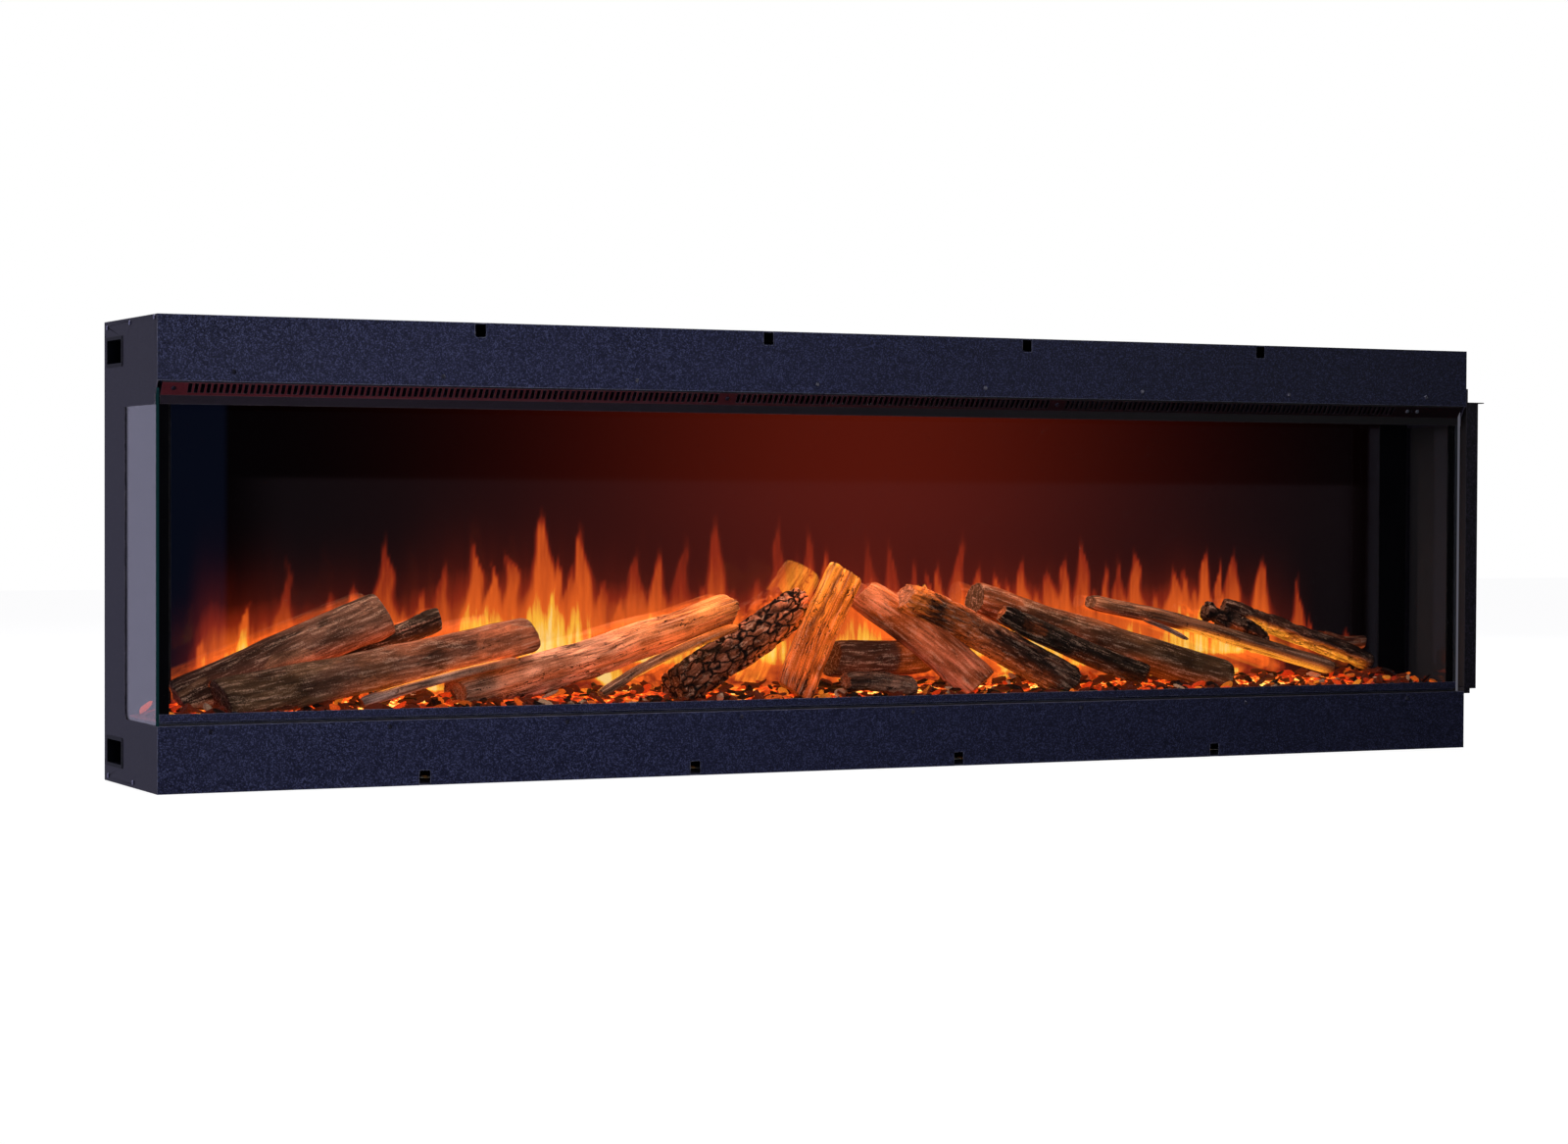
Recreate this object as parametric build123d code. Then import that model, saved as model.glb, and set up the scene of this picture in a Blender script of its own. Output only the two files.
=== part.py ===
from build123d import *
import math
import os

os.makedirs("parts", exist_ok=True)

# A wide built-in electric fire with glass on the front and on both sides. Millimetres throughout.
# X runs across the front, Y runs from the front to the rear, Z is up from the middle of the base.

# Case
width = 2000.0
height = 592.0
sheet = 1.5
upper_fascia_height = 82.0
lower_fascia_height = 84.0
fascia_return = 20.0
flange_height = 16.0

# Front to rear build-up, which adds up to the depth of the case
lip_setback = 12.5
glass_gap = 0.3
glass_thickness = 4.0
bed_depth = 120.2
screen_thickness = 3.0
rear_chamber_depth = 102.0

# Warm air outlet, under the upper fascia
outlet_drop = 17.5
outlet_lip_height = 11.0
outlet_end_gap = 7.0
outlet_slot_width = 5.0
outlet_slot_pitch = 8.0
outlet_slot_length = 14.0
outlet_left_land = 31.0
outlet_right_land = 119.0
outlet_middle_land = 22.0
outlet_land_places = (-221.0, 291.0)

# Side openings and side glass
side_header_height = 111.0
side_opening_depth = 149.5
side_opening_corner = 12.0
side_glass_gap = 0.2
side_glass_setback = 12.7
side_glass_overlap = 20.0
side_glass_tuck = 6.0
seal_width = 14.0
seal_thickness = 2.0
seal_gap = 0.3

# Lower glass channel
channel_rise = 4.0
channel_lip_height = 10.0
channel_seat_gap = 0.3

# Cover over the right side glass
cover_gap = 0.5
cover_depth = 22.0
cover_rear_overlap = 13.0
cover_below = 88.0
cover_above = 516.0
cover_lip = 11.0
cover_foot_width = 10.5
cover_foot_height = 7.0
cover_tab_proud = 2.5
cover_tab_height = 20.0
cover_tab_depth = 60.0

# Fixing slots in the fascias
fascia_slot_width = 20.0
fascia_slot_height = 15.0
fascia_slot_corner = 2.0
fascia_slot_count = 4
upper_slot_inset = 8.5
lower_slot_inset = 9.0

# Carrying grips let into the side panels
grip_width = 70.0
grip_height = 34.0
grip_corner = 3.0
grip_wall = 1.6
grip_depth = 22.0
grip_flange = 2.5
grip_proud = 1.0
grip_clearance = 0.3
grip_from_rear = 50.0
grip_end_inset = 40.0

# Pan-head screws
screw_radius = 1.6
screw_length = 7.0
screw_head_radius = 3.1
screw_head_height = 1.5
screw_head_round = 0.7
screw_slot_width = 0.7
screw_slot_length = 3.4
screw_slot_depth = 0.7
screw_clearance = 0.2
fascia_screw_count = 8
upper_screw_inset = 70.0
lower_screw_inset = 76.0
rear_screw_inset = 60.0
rear_screw_pitch = 376.0
side_screw_rear = (16.0, 8.0)
side_screw_top = 6.0
side_screw_front = (11.5, 3.8)
side_screw_base = (20.0, 108.0, 7.0)

# Rows along the fascias: width left over at both ends, shift of the row, drift of its middle places
upper_screw_row = (172.0, 11.0, 30.0)
lower_screw_row = (173.0, -19.5, -53.0)
upper_slot_row = (795.0, 27.0, 12.0)
lower_slot_row = (795.0, -48.0, -23.0)

# Notches in the rear edges of the side panels
notch_from_base = 25.0
notch_from_top = 22.0
notch_height = 8.0
notch_depth = 3.0

# Fuel bed
bed_thickness = 6.5
bed_gap = 0.3
tray_front_inset = 3.0
tray_rear_reach = 6.0
bracket_count = 5
bracket_width = 40.0
bracket_foot = 60.0
bracket_end_room = 120.0
chip_pitch = 21.0
chip_size = (13.0, 4.2, 4.0)
chip_chamfer = 0.8
chip_row_inset = 6.0
chip_turn = 23.0
chip_variation = 0.18
window_count = 4
window_web = 60.0
window_margin = 22.0

# Flame screen and the effect behind it
screen_inset = 57.0
screen_clearance = 0.5
cutter_standoff = 20.0
cutter_height = 236.0
cutter_foot = 13.0
tongue_pitch = 52.0
tongue_width = 22.0
tongue_height = 150.0
tongue_variation = 55.0
tongue_lean = 9.0
tongue_foot = 10.0
rod_standoff = 52.0
rod_height = 150.0
rod_radius = 3.0
rod_running_gap = 0.05
rod_end_inset = 92.0
rod_middle_gap = 14.0
vane_pitch = 38.0
vane_length = 30.0
vane_width = 40.0
vane_thickness = 0.8
vane_turn = 47.0
rod_motor_radius = 19.0
rod_motor_length = 34.0
rod_motor_socket = 12.0
rod_bracket_width = 12.0
rod_bracket_depth = 30.0
rod_bracket_rise = 16.0
rod_bracket_toe = 14.0
rod_inner_reach = 4.0
rod_end_float = 2.0
rod_motor_post = 4.0
rod_motor_toe = 24.0

# Light strips
strip_width = 12.0
strip_thickness = 1.6
strip_end_inset = 80.0
lamp_size = (5.0, 5.0, 1.4)
lamp_pitch = 32.0
rail_depth = 26.0
rail_height = 98.0
rail_upstand = 20.0
rail_overhang = 5.0
strip_lift = 0.2
ember_strip_from_glass = 55.0

# Fan heater
scroll_radius = 34.0
duct_height = 30.0
duct_wall = 1.2
duct_setback = 8.0
fan_length = 346.0
fan_from_front = 148.0
fan_lift = 0.4
impeller_radius = 28.0
impeller_length = 338.0
impeller_disc_thickness = 1.6
impeller_disc_count = 4
blade_count = 24
blade_depth = 6.0
blade_thickness = 0.9
blade_lean = 28.0
shaft_radius = 4.0
shaft_running_gap = 0.05
fan_bearing_radius = 10.0
fan_bearing_length = 8.0
fan_motor_radius = 26.0
fan_motor_length = 44.0
fan_motor_socket = 30.0
inlet_width = 30.0
inlet_end_land = 8.0
shaft_hole_gap = 2.0
shaft_end_float = 2.0
blade_inset = 1.0
element_length = 318.0
element_depth = 18.0
element_height = 24.0
element_rail = 3.0
element_fin_thickness = 1.0
element_fin_pitch = 8.0
element_fin_inset = 4.0
element_from_duct_front = 20.0
cutout_radius = 8.0
cutout_height = 6.0
cutout_place = (60.0, 34.0)
cutout_tab = (3.0, 1.0, 8.0)
cutout_tab_spacing = 8.0
vent_count = 32
vent_pitch = 12.0
vent_width = 5.0
vent_height = 46.0

# Controls
button_radius = 3.0
button_spacing = 18.0
button_proud = 1.6
button_travel = 1.5
button_clearance = 0.15
button_collar = 1.2
button_collar_height = 1.0
button_stem = 6.0
buttons_from_end = 95.0
receiver_radius = 2.2
receiver_proud = 0.8
module_length = 44.0
module_width = 13.0
module_thickness = 11.0
control_box_size = (220.0, 72.0, 46.0)
control_box_wall = 1.6
control_box_from_side = 150.0
board_inset = 8.0
board_standoff = 6.0
board_terminal_gap = 4.0
board_post_radius = 2.5
board_post_inset = 4.0
terminal_size = (46.0, 16.0, 18.0)
terminal_wall_gap = 2.0
terminal_from_rear = 20.0
terminal_count = 3
terminal_well = (3.5, 6.0)
driver_size = (110.0, 44.0, 26.0)
driver_gap = 60.0
driver_from_front = 10.0
driver_chamfer = 2.0
control_box_gap = 4.0

# Parts on the control board: from its left end, from its front edge, length, depth and height
board_parts = [
    (10.0, 14.0, 32.0, 36.0, 26.0),
    (58.0, 10.0, 18.0, 24.0, 15.0),
    (82.0, 10.0, 18.0, 24.0, 15.0),
]
capacitor_count = 4
capacitor_first = 62.0
capacitor_pitch = 14.0
capacitor_from_rear = 14.0
capacitor_radius = 5.0
capacitor_height = 14.0

# Mains switch on the right side and cable gland at the rear
switch_height = 300.0
switch_from_rear = 42.0
switch_body = (22.0, 30.0)
switch_bezel = 2.0
switch_bezel_proud = 1.5
switch_body_depth = 19.0
switch_cavity = (15.4, 24.4)
switch_cavity_depth = 12.0
rocker_size = (14.6, 21.6)
rocker_tilt = 10.0
rocker_depth = 5.0
rocker_edge_rise = 3.6
rocker_middle_rise = 2.2
rocker_pin_radius = 1.5
rocker_pin_gap = 0.06
rocker_pin_reach = 1.4
rocker_pin_end_gap = 0.2
rocker_pin_depth = 1.0
gland_radius = 8.0
gland_flange_radius = 12.0
gland_flange_thickness = 3.0
gland_bore_radius = 4.5
gland_length = 20.0
gland_from_side = 100.0
gland_height = 45.0
base_hole_radius = 3.5
base_hole_side_inset = 100.0
base_hole_spacing = 120.0

# Sizes worked out from the values above
glass_front_depth = lip_setback + sheet + glass_gap
bed_front_depth = glass_front_depth + glass_thickness
screen_front_depth = bed_front_depth + bed_depth
screen_rear_depth = screen_front_depth + screen_thickness
depth = screen_rear_depth + rear_chamber_depth + sheet
front = -depth / 2
rear = depth / 2
half = width / 2
inside = half - sheet
glass_front = front + glass_front_depth
bed_front = front + bed_front_depth
screen_front = front + screen_front_depth
screen_rear = front + screen_rear_depth
lip_front = front + lip_setback
upper_edge = height - upper_fascia_height
lip_top = upper_edge - outlet_drop
opening_top = height - side_header_height
side_glass_inner = inside - side_glass_gap - glass_thickness
seal_inner = side_glass_inner - seal_gap
tray_top = lower_fascia_height + sheet
channel_low = lower_fascia_height + channel_rise
channel_seat = channel_low + sheet
bed_top = tray_top + bed_thickness
ceiling_under = lip_top - sheet
screen_half = half - screen_inset


def block(x, y, z):
    """A box between a low and a high value on each axis."""
    middle = Pos((x[0] + x[1]) / 2, (y[0] + y[1]) / 2, (z[0] + z[1]) / 2)
    return middle * Box(x[1] - x[0], y[1] - y[0], z[1] - z[0])


def both(low, high, side):
    """The X span from low to high, on the right for side 1 and mirrored to the left for side -1."""
    return (low, high) if side > 0 else (-high, -low)


def bar_x(radius, x_low, x_high, y, z):
    """A round bar along X."""
    return Pos((x_low + x_high) / 2, y, z) * Rot(0, 90, 0) * Cylinder(radius, x_high - x_low)


def bent_sheet(profile, thickness, x_low, x_high):
    """A folded sheet: the (Y, Z) line of one face, thickened to the left of its run, between two X places."""
    points = [Vector(y, z) for y, z in profile]
    steps = [(after - before).normalized() for before, after in zip(points, points[1:])]
    normals = [Vector(-step.Y, step.X) for step in steps]
    mitres = [normals[0]]
    for before, after in zip(normals, normals[1:]):
        mitres.append((before + after) * (1 / (1 + before.dot(after))))
    mitres.append(normals[-1])
    far_side = [point + mitre * thickness for point, mitre in zip(points, mitres)]
    outline = make_face(Polyline(*points, *reversed(far_side), close=True))
    return Pos(x_low, 0, 0) * extrude(Plane.YZ * outline, x_high - x_low)


def spread(count, span, shift, drift):
    """Places along a line of the given span, moved by shift, with the middle ones moved on by drift."""
    shares = [index / (count - 1) for index in range(count)]
    return [shift + span * (share - 0.5) + 4 * drift * share * (1 - share) for share in shares]


def row(count, settings):
    """Places along a fascia, from the width left over at its ends, the shift and the drift."""
    room, shift, drift = settings
    return spread(count, width - room, shift, drift)


def even(low, high, pitch):
    """Places from low to high at the given pitch, centred in that span."""
    count = int((high - low) / pitch) + 1
    start = (low + high - (count - 1) * pitch) / 2
    return [start + index * pitch for index in range(count)]


def screw(place, outward):
    """A pan-head screw whose head sits on a face at place, with outward pointing away from the face."""
    head = Pos(0, 0, screw_head_height / 2) * Cylinder(screw_head_radius, screw_head_height)
    head = fillet(head.edges().group_by(Axis.Z)[-1], screw_head_round)
    shank = Pos(0, 0, -screw_length / 2) * Cylinder(screw_radius, screw_length)
    recess = Box(screw_slot_length, screw_slot_width, screw_slot_depth)
    recess += Box(screw_slot_width, screw_slot_length, screw_slot_depth)
    recess = Pos(0, 0, screw_head_height - screw_slot_depth / 2) * recess
    return Plane(origin=place, z_dir=outward) * (head + shank - recess)


def drilled(part, screws):
    """The part with a clearance hole for each screw, given as (place, outward) pairs."""
    hole = Cylinder(screw_radius + screw_clearance, 3 * screw_length)
    return part - [Plane(origin=place, z_dir=outward) * hole for place, outward in screws]


def save(name, *shapes):
    """Writes one node, which holds one solid or several separate ones."""
    solids = [solid for shape in shapes for solid in shape.solids()]
    export_step(Compound(children=solids), f"parts/{name}.step")


# Screw places: (position, outward direction)
upper_screw_line = row(fascia_screw_count, upper_screw_row)
lower_screw_line = row(fascia_screw_count, lower_screw_row)
upper_screws = [((x, front, height - upper_screw_inset), (0, -1, 0)) for x in upper_screw_line]
lower_screws = [((x, front, lower_screw_inset), (0, -1, 0)) for x in lower_screw_line]
side_screw_places = [
    (rear - side_screw_rear[0], height - side_screw_rear[1]),
    (0, height - side_screw_top),
    (front + side_screw_front[0], height - side_screw_front[1]),
    (rear - side_screw_base[0], side_screw_base[2]),
    (front + side_screw_base[1], side_screw_base[2]),
]
side_screws = [
    ((side * half, y, z), (side, 0, 0)) for side in (-1, 1) for y, z in side_screw_places
]
rear_screws = [
    ((x, rear, z), (0, 1, 0))
    for x in even(-half + rear_screw_inset, half - rear_screw_inset, rear_screw_pitch)
    for z in (flange_height / 2, height - flange_height / 2)
]


# Case

def base_tray():
    """Floor sheet with upturned ends and rear edge, and four holes for fixing it down."""
    rear_inside = rear - sheet
    tray = block((-inside, inside), (front + sheet, rear_inside), (0, sheet))
    tray += block((-inside, inside), (rear_inside - sheet, rear_inside), (0, flange_height))
    for side in (-1, 1):
        x = both(inside - sheet, inside, side)
        tray += block(x, (front + sheet, rear_inside), (0, flange_height))
        for y in (-base_hole_spacing / 2, base_hole_spacing / 2):
            tray -= Pos(side * (half - base_hole_side_inset), y, 0) * Cylinder(base_hole_radius, 4 * sheet)
    return drilled(tray, side_screws + rear_screws)


def top_panel():
    """Lid sheet with downturned ends and rear edge."""
    rear_inside = rear - sheet
    drop = (height - flange_height, height)
    lid = block((-inside, inside), (front + sheet, rear_inside), (height - sheet, height))
    lid += block((-inside, inside), (rear_inside - sheet, rear_inside), drop)
    for side in (-1, 1):
        lid += block(both(inside - sheet, inside, side), (front + sheet, rear_inside), drop)
    return drilled(lid, side_screws + rear_screws)


def fascia_slots(settings, z):
    """Rounded cutters for the fixing slots of one fascia."""
    outline = RectangleRounded(fascia_slot_width, fascia_slot_height, fascia_slot_corner)
    cutter = extrude(outline, 2 * sheet, both=True)
    places = row(fascia_slot_count, settings)
    return [Plane(origin=(x, front, z), z_dir=(0, -1, 0)) * cutter for x in places]


def upper_fascia():
    """Front sheet over the warm air outlet."""
    fascia = block((-half, half), (front, front + sheet), (upper_edge, height))
    fascia -= fascia_slots(upper_slot_row, height - upper_slot_inset)
    return drilled(fascia, upper_screws)


def lower_fascia():
    """Front sheet under the glass."""
    fascia = block((-half, half), (front, front + sheet), (0, lower_fascia_height))
    fascia -= fascia_slots(lower_slot_row, lower_slot_inset)
    return drilled(fascia, lower_screws)


def lower_front_rail():
    """Angle behind the lower fascia: its screws go into it, and its ledge carries the bed tray."""
    top = lower_fascia_height
    back = front + sheet
    profile = [(front + fascia_return, top), (back, top), (back, top - flange_height)]
    return drilled(bent_sheet(profile, sheet, -seal_inner, seal_inner), lower_screws)


def side_panel(side):
    """End sheet with an opening to the front, two grip cut-outs and two edge notches."""
    x = both(inside, half, side)
    panel = block(x, (front + sheet, rear - sheet), (0, height))
    wide = both(inside - sheet, half + sheet, side)
    opening_y = (front, front + side_opening_depth)
    opening = block(wide, opening_y, (lower_fascia_height, opening_top))
    rear_corner = opening.edges().filter_by(Axis.X).sort_by(Axis.Y)[-2:].sort_by(Axis.Z)[0]
    panel -= fillet(rear_corner, side_opening_corner)
    header_end = Polyline(
        (front - sheet, upper_edge + 2 * sheet * outlet_drop / lip_setback),
        (lip_front, lip_top),
        (lip_front, opening_top - sheet),
        (front - sheet, opening_top - sheet),
        close=True,
    )
    panel -= Pos(wide[0], 0, 0) * extrude(Plane.YZ * make_face(header_end), wide[1] - wide[0])
    for z in (grip_end_inset, height - grip_end_inset):
        panel -= block(
            wide,
            (rear - grip_from_rear - grip_width / 2, rear - grip_from_rear + grip_width / 2),
            (z - grip_height / 2, z + grip_height / 2),
        )
    for z in (notch_from_base, height - notch_from_top):
        notch_z = (z - notch_height / 2, z + notch_height / 2)
        panel -= block(wide, (rear - sheet - notch_depth, rear), notch_z)
    if side > 0:
        y = rear - switch_from_rear
        panel -= block(
            wide,
            (y - switch_body[0] / 2, y + switch_body[0] / 2),
            (switch_height - switch_body[1] / 2, switch_height + switch_body[1] / 2),
        )
    return drilled(panel, side_screws)


def rear_panel():
    """Back sheet with air inlet slots behind the heater and a hole for the cable gland."""
    panel = block((-half, half), (rear - sheet, rear), (0, height))
    slot = Box(vent_width, 4 * sheet, vent_height)
    first = -(vent_count - 1) * vent_pitch / 2
    middle = height - upper_fascia_height / 2
    panel -= [Pos(first + index * vent_pitch, rear, middle) * slot for index in range(vent_count)]
    gland_hole = Rot(90, 0, 0) * Cylinder(gland_radius, 4 * sheet)
    panel -= Pos(half - gland_from_side, rear, gland_height) * gland_hole
    return drilled(panel, rear_screws)


def grip_cup(side, z):
    """Pressed cup with a flange, let into a side panel as a carrying grip."""
    seat = Plane(
        origin=(side * half, rear - grip_from_rear, z), x_dir=(0, 1, 0), z_dir=(side, 0, 0)
    )
    length = grip_width - 2 * grip_clearance
    tall = grip_height - 2 * grip_clearance
    body = extrude(RectangleRounded(length, tall, grip_corner), -grip_depth)
    rim = extrude(
        RectangleRounded(grip_width + 2 * grip_flange, grip_height + 2 * grip_flange, grip_corner),
        grip_proud,
    )
    hollow_outline = RectangleRounded(length - 2 * grip_wall, tall - 2 * grip_wall, grip_corner - grip_wall)
    hollow = Pos(0, 0, grip_proud) * extrude(hollow_outline, -(grip_depth + grip_proud - grip_wall))
    return seat * (body + rim - hollow)


# Warm air outlet and its buttons

slope_run = lip_setback
slope_length = math.hypot(slope_run, outlet_drop)
slope_out = (0, -outlet_drop / slope_length, -slope_run / slope_length)
outlet_half = half - outlet_end_gap
button_middle = half - buttons_from_end


def on_slope(x):
    """The plane on the outer face of the sloped outlet strip, at its mid height and at this X."""
    middle = (x, front + slope_run / 2, upper_edge - outlet_drop / 2)
    return Plane(origin=middle, x_dir=(1, 0, 0), z_dir=slope_out)


outlet_screw_places = (-outlet_half + outlet_left_land / 2, *outlet_land_places)
outlet_screws = [(tuple(on_slope(x).origin), slope_out) for x in outlet_screw_places]
button_places = [button_middle - button_spacing / 2, button_middle + button_spacing / 2]


def outlet_grille():
    """Sloped strip of slots with a flange behind the fascia and a lip in front of the glass."""
    run_per_drop = slope_run / outlet_drop
    flange_low = upper_edge - sheet / run_per_drop
    profile = [
        (lip_front, lip_top - outlet_lip_height),
        (lip_front, lip_top),
        (front + sheet, flange_low),
        (front + sheet, upper_edge + fascia_return),
    ]
    profile.reverse()
    grille = bent_sheet(profile, sheet, -outlet_half, outlet_half)
    lands = [-outlet_half + outlet_left_land]
    for place in outlet_land_places:
        lands += [place - outlet_middle_land / 2, place + outlet_middle_land / 2]
    lands.append(outlet_half - outlet_right_land)
    slot = Box(outlet_slot_width, outlet_slot_length, 4 * sheet)
    bays = zip(lands[::2], lands[1::2])
    margin = outlet_slot_width / 2
    places = [x for low, high in bays for x in even(low + margin, high - margin, outlet_slot_pitch)]
    grille -= [on_slope(x) * slot for x in places]
    bore = Cylinder(button_radius + button_clearance, 6 * sheet)
    grille -= [on_slope(x) * bore for x in button_places]
    grille -= on_slope(button_middle) * Cylinder(receiver_radius, 6 * sheet)
    return drilled(drilled(grille, outlet_screws), upper_screws)


def button_module():
    """Housing behind the outlet strip that guides both buttons and holds the receiver."""
    collar_radius = button_radius + button_collar + button_clearance
    collar_room = button_collar_height + button_travel + button_clearance
    stem_room = button_stem + button_travel + button_clearance
    under = -sheet
    body = Pos(0, 0, under - module_thickness / 2) * Box(module_length, module_width, module_thickness)
    for shift in (-button_spacing / 2, button_spacing / 2):
        body -= Pos(shift, 0, under - collar_room / 2) * Cylinder(collar_radius, collar_room)
        stem = Cylinder(button_radius + button_clearance, stem_room)
        body -= Pos(shift, 0, under - stem_room / 2) * stem
    body -= Pos(0, 0, under) * Cylinder(receiver_radius, 2 * button_stem)
    return on_slope(button_middle) * body


def push_button(x):
    """Domed button with a collar that holds it behind the strip and a guide stem."""
    collar_radius = button_radius + button_collar
    low = -sheet - button_stem
    stem = Pos(0, 0, (low + button_proud) / 2) * Cylinder(button_radius, button_proud - low)
    stem = fillet(stem.edges().group_by(Axis.Z)[-1], button_proud * 0.8)
    collar = Pos(0, 0, -sheet - button_collar_height / 2) * Cylinder(collar_radius, button_collar_height)
    return on_slope(x) * (stem + collar)


def receiver():
    """Domed window of the remote control receiver, between the buttons."""
    low = -sheet - button_stem
    barrel = Pos(0, 0, (low + receiver_proud) / 2) * Cylinder(receiver_radius, receiver_proud - low)
    barrel = fillet(barrel.edges().group_by(Axis.Z)[-1], receiver_proud * 0.8)
    return on_slope(button_middle) * barrel


# Glass and its channel

def front_glass():
    """Front pane, between the side panes, standing in the lower channel."""
    y = (glass_front, glass_front + glass_thickness)
    return block((-seal_inner, seal_inner), y, (channel_seat + channel_seat_gap, ceiling_under - sheet))


def side_glass(side):
    """Side pane, inside the side panel, with its front edge level with the front pane."""
    x = both(side_glass_inner, side_glass_inner + glass_thickness, side)
    y = (front + side_glass_setback, front + side_opening_depth + side_glass_overlap / 2)
    z = (lower_fascia_height - side_glass_tuck, opening_top + side_glass_overlap)
    return block(x, y, z)


def glass_channel():
    """Folded strip whose lip stands in front of the pane, with a shelf under it."""
    profile = [
        (lip_front, channel_low + channel_lip_height),
        (lip_front, channel_low),
        (bed_front + bed_gap, channel_low),
        (bed_front + bed_gap, tray_top),
    ]
    return bent_sheet(profile, sheet, -seal_inner, seal_inner)


def corner_seal(side):
    """Black strip behind the end of the front pane, against the side pane."""
    x = both(seal_inner - seal_width, seal_inner, side)
    y = (bed_front + seal_gap, bed_front + seal_gap + seal_thickness)
    return block(x, y, (bed_top + seal_gap, ceiling_under - seal_gap))


def side_cover():
    """Shallow tray that covers the right side glass, with a drip lip, a foot and a hanging tab."""
    x_in = half + cover_gap
    x_out = half + cover_depth
    y_out = front + side_opening_depth + cover_rear_overlap
    cover = block((x_in, x_out), (front, y_out), (cover_below, cover_above))
    hollow_y = (front + sheet, y_out - sheet)
    cover -= block((x_in - sheet, x_out - sheet), hollow_y, (cover_below + sheet, cover_above - sheet))
    cover += block((x_out - sheet, x_out + cover_lip), (front, y_out), (cover_above - sheet, cover_above))
    foot_z = (cover_below - cover_foot_height, cover_below)
    cover += block((x_in, x_in + cover_foot_width), (front, y_out), foot_z)
    tab_z = (cover_above - sheet, cover_above + cover_tab_height)
    cover += block((x_in, x_in + cover_tab_proud), (front, front + cover_tab_depth), tab_z)
    return cover


# Fuel bed and flame effect

def bed_tray():
    """Sheet under the fuel bed, with long windows for the light from below."""
    y = (lip_front + tray_front_inset, screen_rear + tray_rear_reach)
    tray = block((-seal_inner, seal_inner), y, (lower_fascia_height, tray_top))
    bay = (2 * seal_inner - window_web * (window_count + 1)) / window_count
    window_y = (bed_front + window_margin, screen_front - window_margin)
    for index in range(window_count):
        x = -seal_inner + window_web + index * (bay + window_web)
        tray -= block((x, x + bay), window_y, (lower_fascia_height - sheet, tray_top + sheet))
    return tray


def ember_bed():
    """Cast translucent slab that the logs and chips lie on."""
    y = (bed_front + bed_gap + sheet + bed_gap, screen_front - bed_gap)
    return block((-seal_inner, seal_inner), y, (tray_top, bed_top))


def bed_bracket(x):
    """Folded bracket that holds up the bed tray."""
    foot_rear = bed_front + window_margin / 2 + bracket_foot
    post = bed_front + window_margin / 2
    profile = [
        (foot_rear, sheet),
        (post, sheet),
        (post, lower_fascia_height),
    ]
    profile.reverse()
    return bent_sheet(profile, sheet, x - bracket_width / 2, x + bracket_width / 2)


def ember_chips():
    """Row of loose bark chips along the front of the bed, each turned differently."""
    row_y = bed_front + bed_gap + sheet + chip_row_inset
    chips = []
    for index, x in enumerate(even(-seal_inner + chip_pitch, seal_inner - chip_pitch, chip_pitch)):
        turn = chip_turn * math.sin(2.4 * index)
        size = 1 + chip_variation * math.sin(1.7 * index)
        chip = Box(chip_size[0] * size, chip_size[1] * size, chip_size[2] * size)
        chip = chamfer(chip.edges().group_by(Axis.Z)[-1], chip_chamfer)
        chips.append(Pos(x, row_y, bed_top + chip_size[2] * size / 2) * Rot(0, 0, turn) * chip)
    return chips


def flame_screen():
    """Half-mirrored sheet behind the logs, on which the flames appear."""
    z = (tray_top + screen_clearance, ceiling_under - screen_clearance)
    return block((-screen_half, screen_half), (screen_front, screen_rear), z)


def screen_end(side):
    """Black sheet that closes the gap between the flame screen and the side glass."""
    x = both(screen_half + screen_clearance, seal_inner, side)
    z = (tray_top + screen_clearance, ceiling_under - screen_clearance)
    return block(x, (screen_front, screen_front + sheet), z)


def flame_cutter():
    """Sheet with flame-shaped openings, which shapes the moving light."""
    y = screen_rear + cutter_standoff
    reach = screen_half - cutter_standoff
    cutter = block((-reach, reach), (y, y + sheet), (sheet, tray_top + cutter_height))
    cutter += block((-reach, reach), (y, y + cutter_foot), (sheet, 2 * sheet))
    tongues = []
    foot = tray_top + tongue_foot
    for index, x in enumerate(even(-reach + tongue_pitch, reach - tongue_pitch, tongue_pitch)):
        tall = tongue_height + tongue_variation * math.sin(2.1 * index)
        lean = tongue_lean * math.sin(1.3 * index)
        wide = tongue_width / 2
        outline = Polyline(
            (x, foot),
            (x + wide, foot + 0.28 * tall),
            (x + wide * 0.5 + lean * 0.5, foot + 0.62 * tall),
            (x + lean, foot + tall),
            (x - wide * 0.6 + lean * 0.5, foot + 0.55 * tall),
            (x - wide, foot + 0.22 * tall),
            close=True,
        )
        tongues.append(extrude(Plane.XZ.offset(-y) * make_face(outline), 2 * sheet, both=True))
    return cutter - tongues


rod_y = screen_rear + rod_standoff
rod_inner = rod_middle_gap / 2
rod_outer = half - rod_end_inset


def flicker_rod(side):
    """Rod with bright vanes, each turned from the last, that throws moving light on the screen."""
    low, high = both(rod_inner - rod_inner_reach, rod_outer + rod_motor_socket - rod_end_float, side)
    rod = bar_x(rod_radius, low, high, rod_y, rod_height)
    vane = Box(vane_length, vane_width, vane_thickness)
    first = rod_inner + rod_bracket_width + vane_length
    for index, x in enumerate(even(first, rod_outer - vane_length, vane_pitch)):
        rod += Pos(side * x, rod_y, rod_height) * Rot(index * vane_turn, 0, 0) * vane
    return rod


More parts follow.
